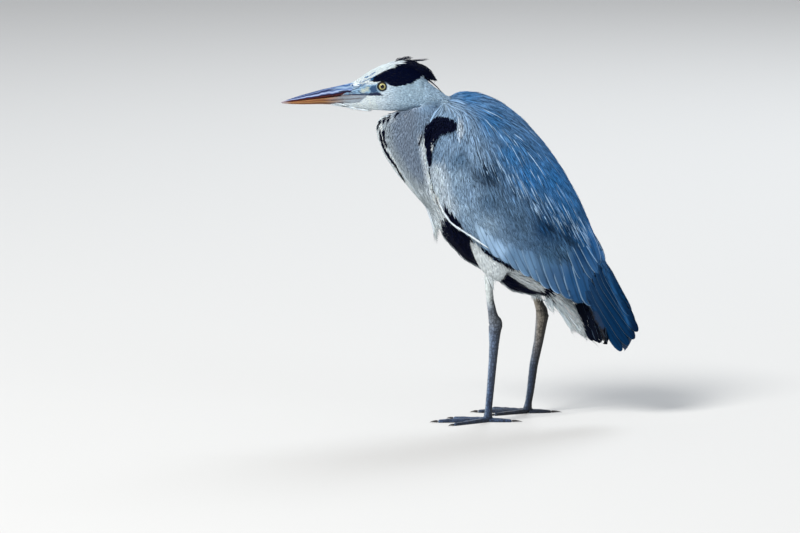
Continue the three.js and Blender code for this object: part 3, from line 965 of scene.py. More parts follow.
def faceColour(places, colour):
    x, y, z = places.T * 1000
    bands = 0.5 + 0.5 * np.sin((z - 0.22 * x) * 2.1 + 0.9 * np.sin(x * 0.35))
    rough = 0.9 * mottle(places, 0.0009)
    cream = blend(bare["loresCream"], bare["loresGreen"], ease(x - 0.3 * (z - 531), -149, -143))
    ring = np.hypot(x - eyeValues["centre"][0] * 1000, z - eyeValues["centre"][2] * 1000)
    pale = np.exp(-((ring - 9.2) / 0.55) ** 2) * ease(-x, 124, 130)
    dark = inOutline(x, z, loresShade, -1.0, 0.8)
    for streak in loresStreaks:
        dark = np.maximum(dark, 0.8 * onLine(x, z, streak, 0.3, 1.2))
    dark = np.maximum(dark, onLine(x, z, gapeLine, 0.7, 1.5))
    horn = overMandible(places)
    lid = 1 - ease(eyeDistance(places), *eyeValues["lidEdge"])
    face = layered(
        blend(bare["lores"], bare["loresPale"], 0.75 * bands),
        (bare["loresBlue"], 0.9 * ease(outlineDepth(x, z, loresBlue) + rough, -1.2, 1.0)),
        (cream, (0.4 + 0.45 * bands) * ease(outlineDepth(x, z, loresCream) + 1.6 * rough, -1.6, 1.8)),
        (bare["loresPale"], 0.8 * pale),
        (bare["loresDark"], dark),
        (lowerBillColour(places), horn),
        (bare["lid"], lid))
    return blend(colour, face, np.maximum(np.maximum(bareFace(places), lid), horn))


def paintSkin():
    mesh = skin.data
    places = vertexPlaces(mesh)
    zones = zonesAt(places)
    x, y, z = places.T * 1000
    mark = inOutline(x, z, carpalPatch, -0.5, 0.5) * ease(np.abs(y), 14, 20)
    colour = blend(plumageAt(places, zones), tint["ink"], mark)
    # painted shade: the skin darker than the feathers over it, darkest under the shoulder feathers
    colour = colour * np.where(inZones(zones, "shoulder"), 0.55, 0.75)[:, None]
    colour = faceColour(places, colour)
    legs = inZones(zones, "leg")
    colour[legs] = legColour(places[legs], vertexNormals(mesh)[legs])
    paint(mesh, "plumage", colour)
    mesh.materials.append(skinUnderCoat)
    mesh.materials.append(legScales)
    mesh.polygons.foreach_set("material_index", isLegFace)


paintSkin()
finishPiece(skin, "leg_skin", *nodesOf(*(zone for zone in zoneNodes if zone != "primary")))
print("skin painted")

# the surface that the coat grows on
skin.data.calc_loop_triangles()
triangles = readAll(skin.data.loop_triangles, "vertices", 3, np.int64)
triangleLoops = readAll(skin.data.loop_triangles, "loops", 3, np.int64)
triangleUv = readAll(skin.data.uv_layers["OFBake"].data, "uv", 2)[triangleLoops].mean(axis=1)
skinPlaces = vertexPlaces(skin.data)
corners = skinPlaces[triangles]
triangleNormals = unit(vertexNormals(skin.data)[triangles].sum(axis=1))
triangleSpans = np.cross(corners[:, 1] - corners[:, 0], corners[:, 2] - corners[:, 0])
triangleAreas = np.linalg.norm(triangleSpans, axis=1) / 2
triangleZones = zonesAt(corners.mean(axis=1))
skinTree = BVHTree.FromPolygons(skinPlaces.tolist(), triangles.tolist())
print("coat surface ready:", len(triangles), "triangles")


def nearestOnSkin(places):
    found = [skinTree.find_nearest(place) for place in places.tolist()]
    return np.array([hit[0] for hit in found]), np.array([hit[2] for hit in found])


# the lie of the coat: places and directions in the side view, by tract
lie = {
    "head": [
        ((-165, 535), (0.9, 0.45)), ((-130, 562), (0.9, 0.42)), ((-100, 570), (1, 0.12)),
        ((-65, 565), (0.85, -0.5)), ((-130, 520), (1, -0.05)), ((-90, 525), (0.95, -0.3)),
        ((-190, 504), (1, -0.05)), ((-65, 530), (0.75, -0.65))],
    "crest": [((-80, 572), (1, 0.0)), ((-50, 560), (0.8, -0.55))],
    "nape": [((-50, 520), (0.78, -0.62))],
    "neck": [
        ((-50, 520), (0.75, -0.65)), ((-49, 484), (-0.3, -0.95)), ((-89, 453), (-0.3, -0.95)),
        ((-113, 460), (-0.15, -1)), ((-121, 435), (0.3, -0.95)), ((-105, 412), (0.55, -0.83)),
        ((-81, 405), (0.25, -0.97)), ((-65, 372), (0.5, -0.86)), ((-49, 345), (0.45, -0.89)),
        ((-110, 492), (-0.55, -0.83))],
    "trunk": [
        ((-30, 340), (0.35, -0.94)), ((20, 270), (0.6, -0.8)), ((90, 220), (0.95, -0.3)),
        ((150, 220), (0.9, -0.45))],
    "shoulder": [
        ((-30, 512), (-0.62, -0.78)), ((-2, 500), (0.0, -1)), ((30, 480), (0.32, -0.95)),
        ((63, 440), (0.36, -0.93)), ((111, 380), (0.45, -0.89)), ((180, 300), (0.5, -0.87)),
        ((70, 490), (0.6, -0.8))],
    "covert": [
        ((-40, 470), (-0.25, -0.97)), ((-25, 416), (0.08, -1)), ((15, 377), (0.3, -0.95)),
        ((-25, 345), (0.35, -0.94)), ((31, 312), (0.5, -0.86)), ((90, 300), (0.42, -0.91)),
        ((120, 330), (0.42, -0.91))],
    "flight": [((100, 250), (0.5, -0.87)), ((190, 220), (0.55, -0.83))],
    "primary": [((240, 180), (0.56, -0.83))],
    "tail": [((200, 180), (0.5, -0.87))],
    "vent": [((150, 190), (0.75, -0.66)), ((190, 160), (0.55, -0.83))],
    "thigh": [
        ((20, 290), (0.35, -0.94)), ((60, 245), (0.3, -0.95)), ((100, 240), (0.5, -0.87)),
        ((128, 210), (0.2, -0.98))],
    "leg": [((60, 100), (0, -1))],
}


def tangent(vectors, normals):
    return unit(vectors - normals * np.sum(vectors * normals, axis=1, keepdims=True))


def lieAt(places, zones, normals):
    x, y, z = places.T * 1000
    heading = np.zeros((len(places), 3))
    for zone, guides in lie.items():
        here = np.nonzero(inZones(zones, zone))[0]
        if not len(here):
            continue
        spots, ways = np.array(guides).transpose(1, 0, 2)
        weight = 1 / (np.hypot(x[here, None] - spots[:, 0], z[here, None] - spots[:, 1]) ** 2 + 30)
        way = weight @ ways / weight.sum(axis=1, keepdims=True)
        heading[here, 0], heading[here, 2] = way.T
        if zone == "shoulder":
            heading[here, 0] += 1.6 * ease(normals[here, 2], 0.35, 0.85)
    return tangent(heading, normals)


def scatter(zoneList, spacing, keep=None):  # even but unordered roots on some tracts
    chosen = np.nonzero(inZones(triangleZones, *zoneList))[0]
    areas = triangleAreas[chosen]
    count = int(areas.sum() / spacing ** 2 * 3)
    picks = chosen[random.choice(len(chosen), count, p=areas / areas.sum())]
    a, b = random.random((2, count, 1))
    fold = a + b > 1
    a, b = np.where(fold, 1 - a, a), np.where(fold, 1 - b, b)
    spots = corners[picks]
    places = spots[:, 0] + a * (spots[:, 1] - spots[:, 0]) + b * (spots[:, 2] - spots[:, 0])
    cells = np.floor(places / (spacing * 1.05)).astype(np.int64)
    keys = cells @ (73856093, 19349663, 83492791)  # one number for each cell, so that each keeps one root
    first = np.unique(keys, return_index=True)[1]
    places, picks = places[first], picks[first]
    if keep is not None:
        kept = random.random(len(places)) < keep(places)
        places, picks = places[kept], picks[kept]
    return places, picks


def followCoat(places, picks, lengths, turn, steps):  # steps along the skin down the lie of the coat
    zones = triangleZones[picks]
    normals = triangleNormals[picks]
    angle = random.normal(0, turn, len(places))[:, None]
    pathPlaces, pathNormals = [places], [normals]
    stepLength = lengths[:, None] / steps
    heading = None
    for _ in range(steps):
        now = lieAt(places, zones, normals)
        now = unit(now * np.cos(angle) + np.cross(normals, now) * np.sin(angle))
        heading = now if heading is None else unit(0.5 * heading + 0.5 * now)
        ahead = places + heading * stepLength
        places, picks = nearestOnSkin(ahead)
        gap = np.linalg.norm(places - ahead, axis=1, keepdims=True)
        strayed = gap > 0.5 * stepLength  # left the edge of a form
        places = np.where(strayed, ahead, places)
        normals = np.where(strayed, normals, unit(0.5 * normals + 0.5 * triangleNormals[picks]))
        pathPlaces.append(places)
        pathNormals.append(normals)
    return np.stack(pathPlaces, axis=1), np.stack(pathNormals, axis=1)


tuftShape = {  # breadth of a tuft from root to tip
    "soft": (0, 0.85, 0.75, 0),
    "round": (0, 0.8, 1.0, 0),
    "lance": (0, 0.7, 1.0, 0.6, 0),
}
tuftValues = {
    "curl": 0.35,  # cosine of the most a tuft may turn from root to tip
    "rootDepth": 0.0004,
    "seenAt": 0.66,  # where along it a tuft takes its colour
    "wander": 0.0004,
    "tipShade": 1.08,
    "patch": 0.003,  # its place in the bake map
}


def growTufts(name, zoneList, shape, look, length, width, rise, spacing=None, turn=0.12, keep=None,
              shade=None, roots=None, jitter=0.08, thickness=0.14, lift=0.0, lengthScale=None,
              rootShade=0.72, rootRise=0.15, reach=0.006):
    places, picks = scatter(zoneList, spacing, keep) if roots is None else roots
    lengths = random.uniform(*length, len(places))
    if lengthScale is not None:
        lengths = lengths * lengthScale(places)
    steps = len(tuftShape[shape]) - 1
    path, normals = followCoat(places, picks, lengths, turn, steps)
    gap = np.linalg.norm(path[:, -1] - nearestOnSkin(path[:, -1])[0], axis=1)
    strides = unit(np.diff(path, axis=1))
    straight = (strides[:, 0] * strides[:, -1]).sum(axis=1) > tuftValues["curl"]
    lies = (gap < reach) & straight
    path, normals, picks, count = path[lies], normals[lies], picks[lies], int(lies.sum())
    share = np.linspace(0, 1, steps + 1)
    rises = rise * (rootRise + (1 - rootRise) * share) * random.uniform(0.7, 1.15, (count, 1))
    heights = rises + lift * share ** 3
    heights[:, 0] = -tuftValues["rootDepth"]
    path = path + normals * heights[..., None]
    seen = path[:, min(round(steps * tuftValues["seenAt"]), steps)]
    colour = plumageAt(seen + random.normal(0, tuftValues["wander"], (count, 3)), triangleZones[picks])
    if shade is not None:
        colour = shade(seen, colour)
    return layVanes(name, path, normals, width, shape, colour, picks, look, jitter, thickness, rootShade)


def layVanes(name, path, normals, width, shape, colour, picks, look, jitter=0.08, thickness=0.14,
             rootShade=0.72):
    count, steps = len(path), path.shape[1] - 1
    widths = width * random.uniform(0.75, 1.25, count)
    forward = unit(np.gradient(path, axis=1))
    across = unit(np.cross(normals, forward))
    over = np.cross(forward, across)
    half = widths[:, None] * np.array(tuftShape[shape]) / 2
    inner = slice(1, steps)
    left = path[:, inner] - across[:, inner] * half[:, inner, None]
    right = path[:, inner] + across[:, inner] * half[:, inner, None]
    top = path[:, inner] + over[:, inner] * (half[:, inner, None] * 2 * thickness)
    rings = np.stack([left, top, right], axis=2).reshape(count, -1, 3)
    points = np.concatenate([path[:, :1], rings, path[:, -1:]], axis=1)
    alongMap = np.concatenate([[0], np.repeat(np.linspace(0, 1, steps + 1)[inner], 3), [1]])
    acrossMap = np.concatenate([[0.5], np.tile([0.02, 0.5, 0.98], steps - 1), [0.5]])
    colour = colour * (1 + random.normal(0, jitter, (count, 1)))
    # painted shade towards the root and painted light towards the tip
    colour = colour[:, None] * (rootShade + (tuftValues["tipShade"] - rootShade) * alongMap)[:, None]
    patch = tuftValues["patch"]
    patches = np.concatenate([triangleUv[picks] - patch / 2, np.full((count, 2), patch)], axis=1)
    return buildVanes(name, points, tubeFaces(steps - 1, 3), colour, acrossMap, alongMap, patches, look)


def rootsAlong(line, gap, spread, sign, aside=0.0):  # roots on the skin under a line drawn on the side view
    line = np.array(line, dtype=float)
    count = max(1, int(np.linalg.norm(np.diff(line, axis=0), axis=1).sum() / gap))
    spots = along(line, random.random(count)) + random.normal(0, spread, (count, 2))
    places, picks = [], []
    for x, z in spots * mm:
        hit, _, index, _ = skinTree.ray_cast(Vector((x, sign * 0.3, z)), Vector((0, -sign, 0)))
        if hit is not None and abs(hit.y) > aside:
            places.append(hit)
            picks.append(index)
    return np.array(places).reshape(-1, 3), np.array(picks, dtype=int)


def oneTint(name):  # a shade that gives every feather the same colour
    return lambda places, old: np.tile(tint[name], (len(old), 1))


def growMarks(name, marks, colour, look, gap, spread, aside=0.0, **sizes):  # marks drawn as feathers
    roots = [rootsAlong(line, gap, spread, sign, aside) for sign in sideSign.values() for line in marks]
    places, picks = (np.concatenate(column) for column in zip(*roots))
    return growTufts(name, None, "lance", look, roots=(places, picks), turn=0.06,
                     shade=oneTint(colour), **sizes)


def growPatch(name, zoneList, outline, colour, look, aside=0, **sizes):  # a mark with a firm outline
    def inside(places):
        x, y, z = places.T * 1000
        return (outlineDepth(x, z, outline) > 0) & (np.abs(y) > aside)
    return growTufts(name, zoneList, "lance", look, turn=0.08, keep=inside, rootRise=0.75,
                     shade=oneTint(colour), **sizes)


def growStrands(name, bundles, colour, look, width):  # loose plumes, from a root over a middle point to a tip
    steps = len(tuftShape["lance"]) - 1
    share = np.linspace(0, 1, steps + 1)[:, None]
    paths, out = [], []
    for sign in sideSign.values():
        for root, middle, tip, aside, count, spread in bundles:
            for _ in range(count):
                points = []
                for (x, z), y in zip((root, middle, tip), aside):
                    dx, dy, dz = random.normal(0, spread, 3)
                    points.append(np.array((x + dx, sign * (y + dy), z + dz)) * mm)
                a, b, c = points
                bow = 2 * share * (1 - share) * (2 * b - (a + c) / 2)
                paths.append((1 - share) ** 2 * a + bow + share ** 2 * c)
                out.append(np.tile((0, sign, 0.2), (steps + 1, 1)))
    path, normals = np.array(paths), unit(np.array(out, dtype=float))
    picks = nearestOnSkin(path[:, 0])[1]
    colours = np.tile(tint[colour], (len(path), 1))
    return layVanes(name, path, normals, width, "lance", colours, picks, look, thickness=0.3)


def tubeFaces(rings, sidesRound):  # a closed tube of rings with a point at each end
    last = 1 + rings * sidesRound
    turn = [(i, (i + 1) % sidesRound) for i in range(sidesRound)]
    faces = [(0, 1 + j, 1 + i) for i, j in turn]
    for ring in range(rings - 1):
        a, b = 1 + ring * sidesRound, 1 + (ring + 1) * sidesRound
        faces += [(a + i, a + j, b + j, b + i) for i, j in turn]
    a = last - sidesRound
    return faces + [(a + i, a + j, last) for i, j in turn]


def insideOut(points, faces):
    first = points[0]
    volume = 0
    for face in faces:
        for second, third in zip(face[1:-1], face[2:]):
            volume += np.dot(first[face[0]], np.cross(first[second], first[third]))
    return volume < 0


def bakeGrid(count):  # a separate patch for each large feather
    columns = math.ceil(math.sqrt(count * 3))
    rows = math.ceil(count / columns)
    cell = np.arange(count)
    return np.stack([cell % columns / columns + 0.002, cell // columns / rows + 0.002,
                     np.full(count, 1 / columns - 0.004), np.full(count, 1 / rows - 0.004)], axis=1)


def buildVanes(name, points, faces, colour, acrossMap, alongMap, patches, look):
    material, slot = look
    count, perVane = points.shape[:2]
    if insideOut(points - points[:, :1], faces):
        faces = [face[::-1] for face in faces]
    mesh = bpy.data.meshes.new(name)
    flat = np.concatenate([np.array(face) for face in faces])
    loops = (flat[None] + (np.arange(count) * perVane)[:, None]).ravel()
    allSizes = np.tile([len(face) for face in faces], count)
    mesh.vertices.add(count * perVane)
    mesh.vertices.foreach_set("co", points.astype(np.float32).ravel())
    mesh.loops.add(len(loops))
    mesh.loops.foreach_set("vertex_index", loops.astype(np.int32))
    mesh.polygons.add(len(allSizes))
    mesh.polygons.foreach_set("loop_start", (np.cumsum(allSizes) - allSizes).astype(np.int32))
    mesh.update(calc_edges=True)
    mesh.validate()
    across = acrossMap[flat][None] * 0.98 + 0.01 + random.integers(0, 64, (count, 1))
    forward = np.broadcast_to(alongMap[flat][None], across.shape)
    vane = np.stack([across, forward], axis=-1)
    shares = np.stack([acrossMap[flat], alongMap[flat]], axis=-1)
    patch = patches[:, None, :2] + shares[None] * patches[:, None, 2:]
    for mapName, values in (("vane", vane), ("OFBake", patch)):
        mesh.uv_layers.new(name=mapName).data.foreach_set("uv", values.astype(np.float32).ravel())
    paint(mesh, "plumage", colour.reshape(-1, 3))
    mesh.materials.append(material)
    piece = bpy.data.objects.new(name, mesh)
    bpy.context.scene.collection.objects.link(piece)
    print(name, count, "vanes,", int(np.sum(allSizes - 2)), "triangles")
    return finishPiece(piece, slot)


def headKeep(places):
    bareAmount = np.maximum(bareFace(places), eyeDistance(places) < eyeValues["featherless"])
    return (1 - bareAmount) * (1 - overMandible(places))


def headLengths(places):
    return 0.55 + 0.6 * ease(places[:, 0], -0.17, -0.09)


def neckLengths(places):  # short under the head, long plumes at the breast
    return 0.7 + 1.7 * ease(-places[:, 2], -0.44, -0.34)


def mantleLengths(places):  # short round the bend of the wing, where the black mark is
    x, y, z = places.T * 1000
    return 1 - 0.62 * onLine(x, z, [(-50, 480), (-25, 480), (-10, 480)], 10, 34)


def covertLengths(places):
    x, y, z = places.T * 1000
    near = onLine(x, z, [(-48, 420), (-50, 470), (-25, 480)], 8, 22)
    return 1 - 0.45 * np.maximum(near, 0.6 * onLine(x, z, wingEdge, 6, 16))


def onLowerNeck(places):
    return ease(-places[:, 2], -0.415, -0.37)


def towardsWhite(places, colour):
    paler = blend(colour, tint["white"], random.uniform(0, 0.8, len(colour)))
    return paler * random.uniform(0.8, 1.0, (len(colour), 1))


def aboveBlades(places):  # only where soft coverts hide the roots of the large feathers
    x, y, z = places.T * 1000
    lower = 36 * (1 - ease(np.abs(y), 16, 34)) * ease(x, 150, 190)
    return ease(z + lower - np.interp(x, (100, 150, 190, 230), (268, 278, 280, 300)), -6, 10)


# the coat's looks: a material and a slot
black = (feather["soft"], "black_feathers")
softWhite = (feather["soft"], "white_feathers")
downWhite = (feather["down"], "white_feathers")
neckDown = (feather["down"], "neck_feathers")
back = (feather["wing"], "blue_grey_feathers")
covert = (feather["wing"], "pale_grey_feathers")

growTufts("headFeathers", ["head"], "soft", downWhite, spacing=0.0014, length=(0.0055, 0.009), width=0.0012,
          rise=0.0009, keep=headKeep, lengthScale=headLengths, jitter=0.02, turn=0.07, rootShade=0.94,
          thickness=0.10)
growTufts("napeFeathers", ["nape"], "soft", neckDown, spacing=0.0016, length=(0.008, 0.013), width=0.0013,
          rise=0.0013, jitter=0.04, turn=0.08, rootShade=0.9, thickness=0.10)
growTufts("neckFeathers", ["neck"], "lance", neckDown, spacing=0.0019, length=(0.010, 0.016), width=0.0012,
          rise=0.0026, lengthScale=neckLengths, jitter=0.07, rootShade=0.84, turn=0.09)
growTufts("neckPlumes", ["neck"], "lance", neckDown, spacing=0.0056, length=(0.022, 0.038), width=0.0013,
          rise=0.0034, turn=0.08, keep=onLowerNeck, shade=towardsWhite, rootShade=0.7)
growTufts("bellyFeathers", ["trunk"], "soft", black, spacing=0.0030, length=(0.020, 0.030), width=0.0030,
          rise=0.0042, rootShade=0.85)
growTufts("thighFeathers", ["thigh"], "lance", downWhite, spacing=0.0018, length=(0.014, 0.022), width=0.0014,
          rise=0.0026, jitter=0.02, turn=0.06, rootShade=0.95, thickness=0.10)
growTufts("ventFeathers", ["vent"], "lance", softWhite, spacing=0.0024, length=(0.022, 0.044), width=0.0017,
          rise=0.0032, lift=0.003, jitter=0.16, rootShade=0.82, reach=0.009)
growTufts("backFeathers", ["shoulder"], "lance", back, spacing=0.0028, length=(0.028, 0.044), width=0.0021,
          rise=0.0040, turn=0.07, jitter=0.11, lengthScale=mantleLengths)
growTufts("wingCoverts", ["covert"], "lance", covert, spacing=0.0025, length=(0.018, 0.030), width=0.0017,
          rise=0.0036, turn=0.07, jitter=0.05, lengthScale=covertLengths, rootShade=0.86, thickness=0.10)
growTufts("covertVanes", ["covert"], "round", (feather["cover"], "pale_grey_feathers"), spacing=0.0072,
          length=(0.024, 0.036), width=0.0074, rise=0.0024, turn=0.05, jitter=0.05,
          lengthScale=covertLengths, thickness=0.05, rootShade=0.9)
growTufts("mantleVanes", ["shoulder"], "lance", (feather["cover"], "blue_grey_feathers"), spacing=0.0082,
          length=(0.040, 0.062), width=0.0046, rise=0.0044, turn=0.06, jitter=0.14,
          lengthScale=mantleLengths, thickness=0.09, rootShade=0.6)
growTufts("bladeCoverts", ["flight"], "lance", (feather["wing"], "slate_feathers"), spacing=0.0028,
          length=(0.022, 0.034), width=0.0026, rise=0.0046, turn=0.06, keep=aboveBlades)

# dark and pale marks of the head, the neck and the wing's edge
throatDashes = [
    [(-101, 496), (-107, 490), (-112, 484)], [(-108, 497), (-115, 489), (-120, 481)],
    [(-114.5, 498), (-121, 489), (-126, 480)], [(-121, 494), (-127, 484), (-130, 472)],
    [(-96, 494), (-101, 489)], [(-122, 470), (-121, 456), (-118, 446)],
]
neckStreaks = [[(-61, 468), (-67, 450)], [(-50, 412), (-42, 372), (-36, 350)]]
foreheadFlecks = [
    [(-166, 537.5), (-161, 541.5)], [(-161, 539), (-155, 544)], [(-157, 546.5), (-146, 551)],
    [(-155, 543), (-149, 546)], [(-149, 542.5), (-141, 547)], [(-146, 546), (-138, 552)],
    [(-163, 536), (-153, 538.5)], [(-152, 549), (-140, 556)],
]
brow = [(-168, 537.5), (-152, 540.6), (-140, 540.8), (-131, 541.6)]
# a dark line under the wing's lower edge: painted shadow, partly the black underside of the wing
underWingShadowAndBlack = [(30, 289), (60, 268), (82, 252), (119, 228), (148, 211)]
carpalSliver = [(-38, 459), (-41, 450), (-42, 441)]
growMarks("throatMarks", throatDashes, "ink", black, gap=0.30, spread=0.35, length=(0.006, 0.010),
          width=0.0021, rise=0.0040, aside=0.007)
growMarks("throatLines", [throatLine[:-2]], "ink", black, gap=0.28, spread=0.4, length=(0.008, 0.013),
          width=0.0017, rise=0.0040)
growMarks("neckStreaks", neckStreaks, "ink", black, gap=0.9, spread=0.3, length=(0.006, 0.010),
          width=0.0012, rise=0.0044)
growMarks("foreheadFlecks", foreheadFlecks, "mantle", (feather["soft"], "blue_grey_feathers"), gap=1.1,
          spread=0.3, length=(0.004, 0.007), width=0.0008, rise=0.0013)
growMarks("browFeathers", [brow], "white", downWhite, gap=0.35, spread=0.3, length=(0.004, 0.006),
          width=0.0009, rise=0.0014)
growPatch("carpalBlack", ["shoulder", "covert", "neck", "nape", "trunk"], carpalPatch, "ink", black,
          spacing=0.0017, length=(0.007, 0.011), width=0.0022, rise=0.0058)
# painted shadow under the wing, partly its black underside
growMarks("underWingShadowAndBlack", [underWingShadowAndBlack], "ink", black, gap=0.4, spread=0.8, length=(0.008, 0.014),
          width=0.0020, rise=0.0040)
growPatch("edgeBlack", ["covert", "trunk"], edgeShade, "ink", black, spacing=0.0020,
          length=(0.007, 0.011), width=0.0020, rise=0.0050, aside=52)
growMarks("carpalWhite", [carpalSliver], "white", downWhite, gap=0.6, spread=0.2, length=(0.006, 0.010),
          width=0.0013, rise=0.0066)

# large single feathers of the wing and tail, laid over the wing's own surface
tailTree = nodeTree(zoneNodes["tail"])
shellTree = nodeTree(nodesOf("shoulder", "covert", "flight", "primary", "tail"))
bladeRing = {"across": np.array([0, 0.25, 0.5, 0.75, 1, 0.5]), "height": np.array([0, 0.8, 1, 0.8, 0, -0.5])}
bladeValues = {  # where a row of blades states nothing else
    "tree": shellTree,
    "behind": False,  # laid on the back of the wing or tail, seen from behind
    "tipSoftness": 0.8,
    "sink": 0,
    "tuck": 0,
    "wander": 0.6,
    "jitter": 0.09,
}


def surfaceDepth(tree, u, v, sign, behind=False):  # how far a form reaches to the side, or to the back
    start, way = ((0.6, sign * u, v), (-1, 0, 0)) if behind else ((u, sign * 0.3, v), (0, -sign, 0))
    hit = tree.ray_cast(Vector(start), Vector(way))[0]
    if hit is None or (hit.y * sign <= 0 and not behind):
        return np.nan
    return hit.x if behind else abs(hit.y)


def surfaceRow(line, sign, row):  # the same along a line, evened out
    depths = np.array([surfaceDepth(row["tree"], u, v, sign, row["behind"]) for u, v in line * mm])
    known = ~np.isnan(depths)
    if not known.any():
        return np.full(len(line), 0.01)
    depths = np.interp(np.arange(len(line)), np.nonzero(known)[0], depths[known])
    padded = np.concatenate([depths[:1], depths, depths[-1:]])
    return (padded[:-2] + 2 * padded[1:-1] + padded[2:]) / 4


def bladeShape(length, width, tipSoftness):
    start = max(0.3, 1 - tipSoftness * width / length)
    tipShares = start + (1 - start) * np.sin(np.linspace(0, 1, 6) * math.pi / 2)
    shares = np.concatenate([np.linspace(0, start, 9)[:-1], tipShares])
    taper = np.sqrt(1 - np.clip((shares - start) / (1 - start), 0, 1) ** 2)
    return shares, (0.35 + 0.65 * ease(shares, 0, 0.3)) * taper


def layBlade(root, tip, width, sign, row):
    run = tip - root
    length = np.linalg.norm(run)
    way = run / length
    front = np.array([way[1], -way[0]])  # towards the edge that shows
    shares, widths = bladeShape(length, width, row["tipSoftness"])
    spine = root + run * shares[:, None] + front * (row["bend"] * 4 * shares * (1 - shares))[:, None]
    half = widths * width / 2
    lines = {across: spine + front * (half * (1 - 2 * across))[:, None] for across in (0, 0.25, 0.5, 0.75, 1)}
    near, middle, far = (surfaceRow(lines[across], sign, row) for across in (0, 0.5, 1))
    hoist = row["hoist"] - row["sink"] * (1 - ease(shares, 0.1, 0.75)) - row["tuck"] * ease(shares, 0.75, 1)
    out = []
    for across, height in zip(bladeRing["across"], bladeRing["height"]):
        inward = 1 - 2 * across
        depths = near * max(0, inward) + middle * (1 - abs(inward)) + far * max(0, -inward)
        proud = hoist + row["tilt"] * (0.5 - across) * np.minimum(1, widths * 1.5)
        lifted = depths + (proud + row["thickness"] * height * np.minimum(1, widths * 3)) * mm
        u, v = lines[across].T * mm
        out.append(np.stack([lifted, sign * u, v] if row["behind"] else [u, sign * lifted, v], axis=1))
    rings = np.stack(out, axis=1)
    ends = rings[[0, -1]].mean(axis=1)
    return np.concatenate([ends[:1], rings[1:-1].reshape(-1, 3), ends[1:]]), shares


def growBlades(name, rows, sign, look, colourOf):
    points, colours = [], []
    for row in ({**bladeValues, **row} for row in rows):
        count = row["count"]
        shares = np.linspace(0, 1, count)
        roots, tips = along(row["roots"], shares), along(row["tips"], shares)
        widths = np.interp(shares, (0, 1), row["width"])
        for index in range(count):
            wander = random.normal(0, row["wander"], 4) * (1, 1, 0.4, 0.4)
            root, tip = roots[index] + wander[:2], tips[index] + wander[2:]
            blade, alongShares = layBlade(root, tip, widths[index], sign, row)
            points.append(blade)
            tone = 1 + random.normal(0, row["jitter"])
            alongMap = np.concatenate([[0], np.repeat(alongShares[1:-1], 6), [1]])
            # painted shade: each blade darker towards its root
            colours.append(colourOf(blade) * (tone * (0.8 + 0.2 * alongMap))[:, None])
    acrossMap = np.concatenate([[0.5], np.tile(bladeRing["across"], len(alongShares) - 2), [0.5]])
    faces, patches = tubeFaces(len(alongShares) - 2, 6), bakeGrid(len(points))
    return buildVanes(name, np.array(points), faces, np.array(colours), acrossMap, alongMap, patches, look)


def bladeColour(places):
    x, y, z = places.T * 1000
    return wingColour(places, x, z) * (1 + 0.05 * mottle(places, 0.008))[:, None]


def primaryColour(places):
    x, y, z = places.T * 1000
    # painted highlight: a lit rim along the rear edge of the primaries, on their sides
    edge = onLine(x, z, [(219, 268), (250, 205), (270, 152)], 1.5, 5)
    return layered(
        np.tile(tint["primary"], (len(x), 1)),
        (tint["deepSlate"], ease(-x, -240, -205)),
        (tint["scapular"], 0.7 * edge * ease(np.abs(y), 9, 16)),
        (tint["ink"], 0.7 * ease(x, 262, 284) * ease(z, 118, 132)))


def tailColour(places):
    return np.tile(tint["tail"], (len(places), 1)) * (1 + 0.1 * mottle(places, 0.006))[:, None]


wingRows = [  # roots and tips in the side view, or in the view from behind; millimetres
    {"count": 11, "roots": [(20, 345), (60, 318), (110, 305), (150, 300), (178, 300)],
     "tips": [(46, 280), (82, 255), (119, 232), (157, 209), (190, 188), (211, 185)], "width": (14, 26),
     "thickness": 0.5, "hoist": 0.6, "tilt": 1.8, "bend": 3.0, "sink": 3.6, "tuck": 2.4, "wander": 1.6},
    {"count": 4, "roots": [(140, 345), (162, 335), (182, 325)], "tips": [(196, 228), (214, 228), (230, 248)],
     "width": (16, 19), "thickness": 0.5, "hoist": 1.1, "tilt": 1.5, "bend": -2.5, "sink": 5.0, "tuck": 1.5,
     "tipSoftness": 1.6, "wander": 1.5},
    {"count": 2, "roots": [(28, 345), (9, 350)], "tips": [(25, 250), (8, 240)], "width": (24, 24),
     "thickness": 0.5, "hoist": 1.0, "tilt": 1.2, "bend": 1.0, "sink": 4.0, "tipSoftness": 1.4, "wander": 0.8,
     "behind": True},
]
primaryRows = [
    {"count": 6, "roots": [(196, 222), (210, 240), (222, 262)],
     "tips": [(258, 110), (275, 123), (285, 137), (273, 166)], "width": (17, 15), "thickness": 0.45,
     "hoist": 0.45, "tilt": 1.9, "bend": 1.0, "tipSoftness": 1.5, "wander": 0.35, "jitter": 0.08},
]
tailRows = [
    {"tree": tailTree, "count": 3, "roots": [(176, 228), (188, 230)], "tips": [(212, 126), (224, 122)],
     "width": (13, 13), "thickness": 0.4, "hoist": 0.2, "tilt": 0.9, "bend": 1.0, "tipSoftness": 1.2,
     "jitter": 0.1},
    {"tree": tailTree, "count": 5, "roots": [(14, 226), (2, 230)], "tips": [(17.5, 124), (4, 119)],
     "width": (11, 13), "thickness": 0.4, "hoist": 0.3, "tilt": 1.2, "bend": 0.5, "tipSoftness": 1.2,
     "wander": 0.4, "jitter": 0.1, "behind": True},
]
slateBlade, slatePrimary = ((feather[name], "slate_feathers") for name in ("blade", "primary"))
for side, sign in sideSign.items():
    growBlades("wingBlades_" + side, wingRows, sign, slateBlade, bladeColour)
    blades = growBlades("primaryBlades_" + side, primaryRows, sign, slatePrimary, primaryColour)
    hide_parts("primaries_" + side)
    growBlades("tailBlades_" + side, tailRows, sign, slatePrimary, tailColour)
print("flight feathers made")


def towardsSilver(places, colour):
    return blend(colour, tint["plume"], random.uniform(0.1, 0.95, len(colour)))


def towardsShade(places, colour):
    return colour * random.uniform(0.3, 0.6, (len(colour), 1))


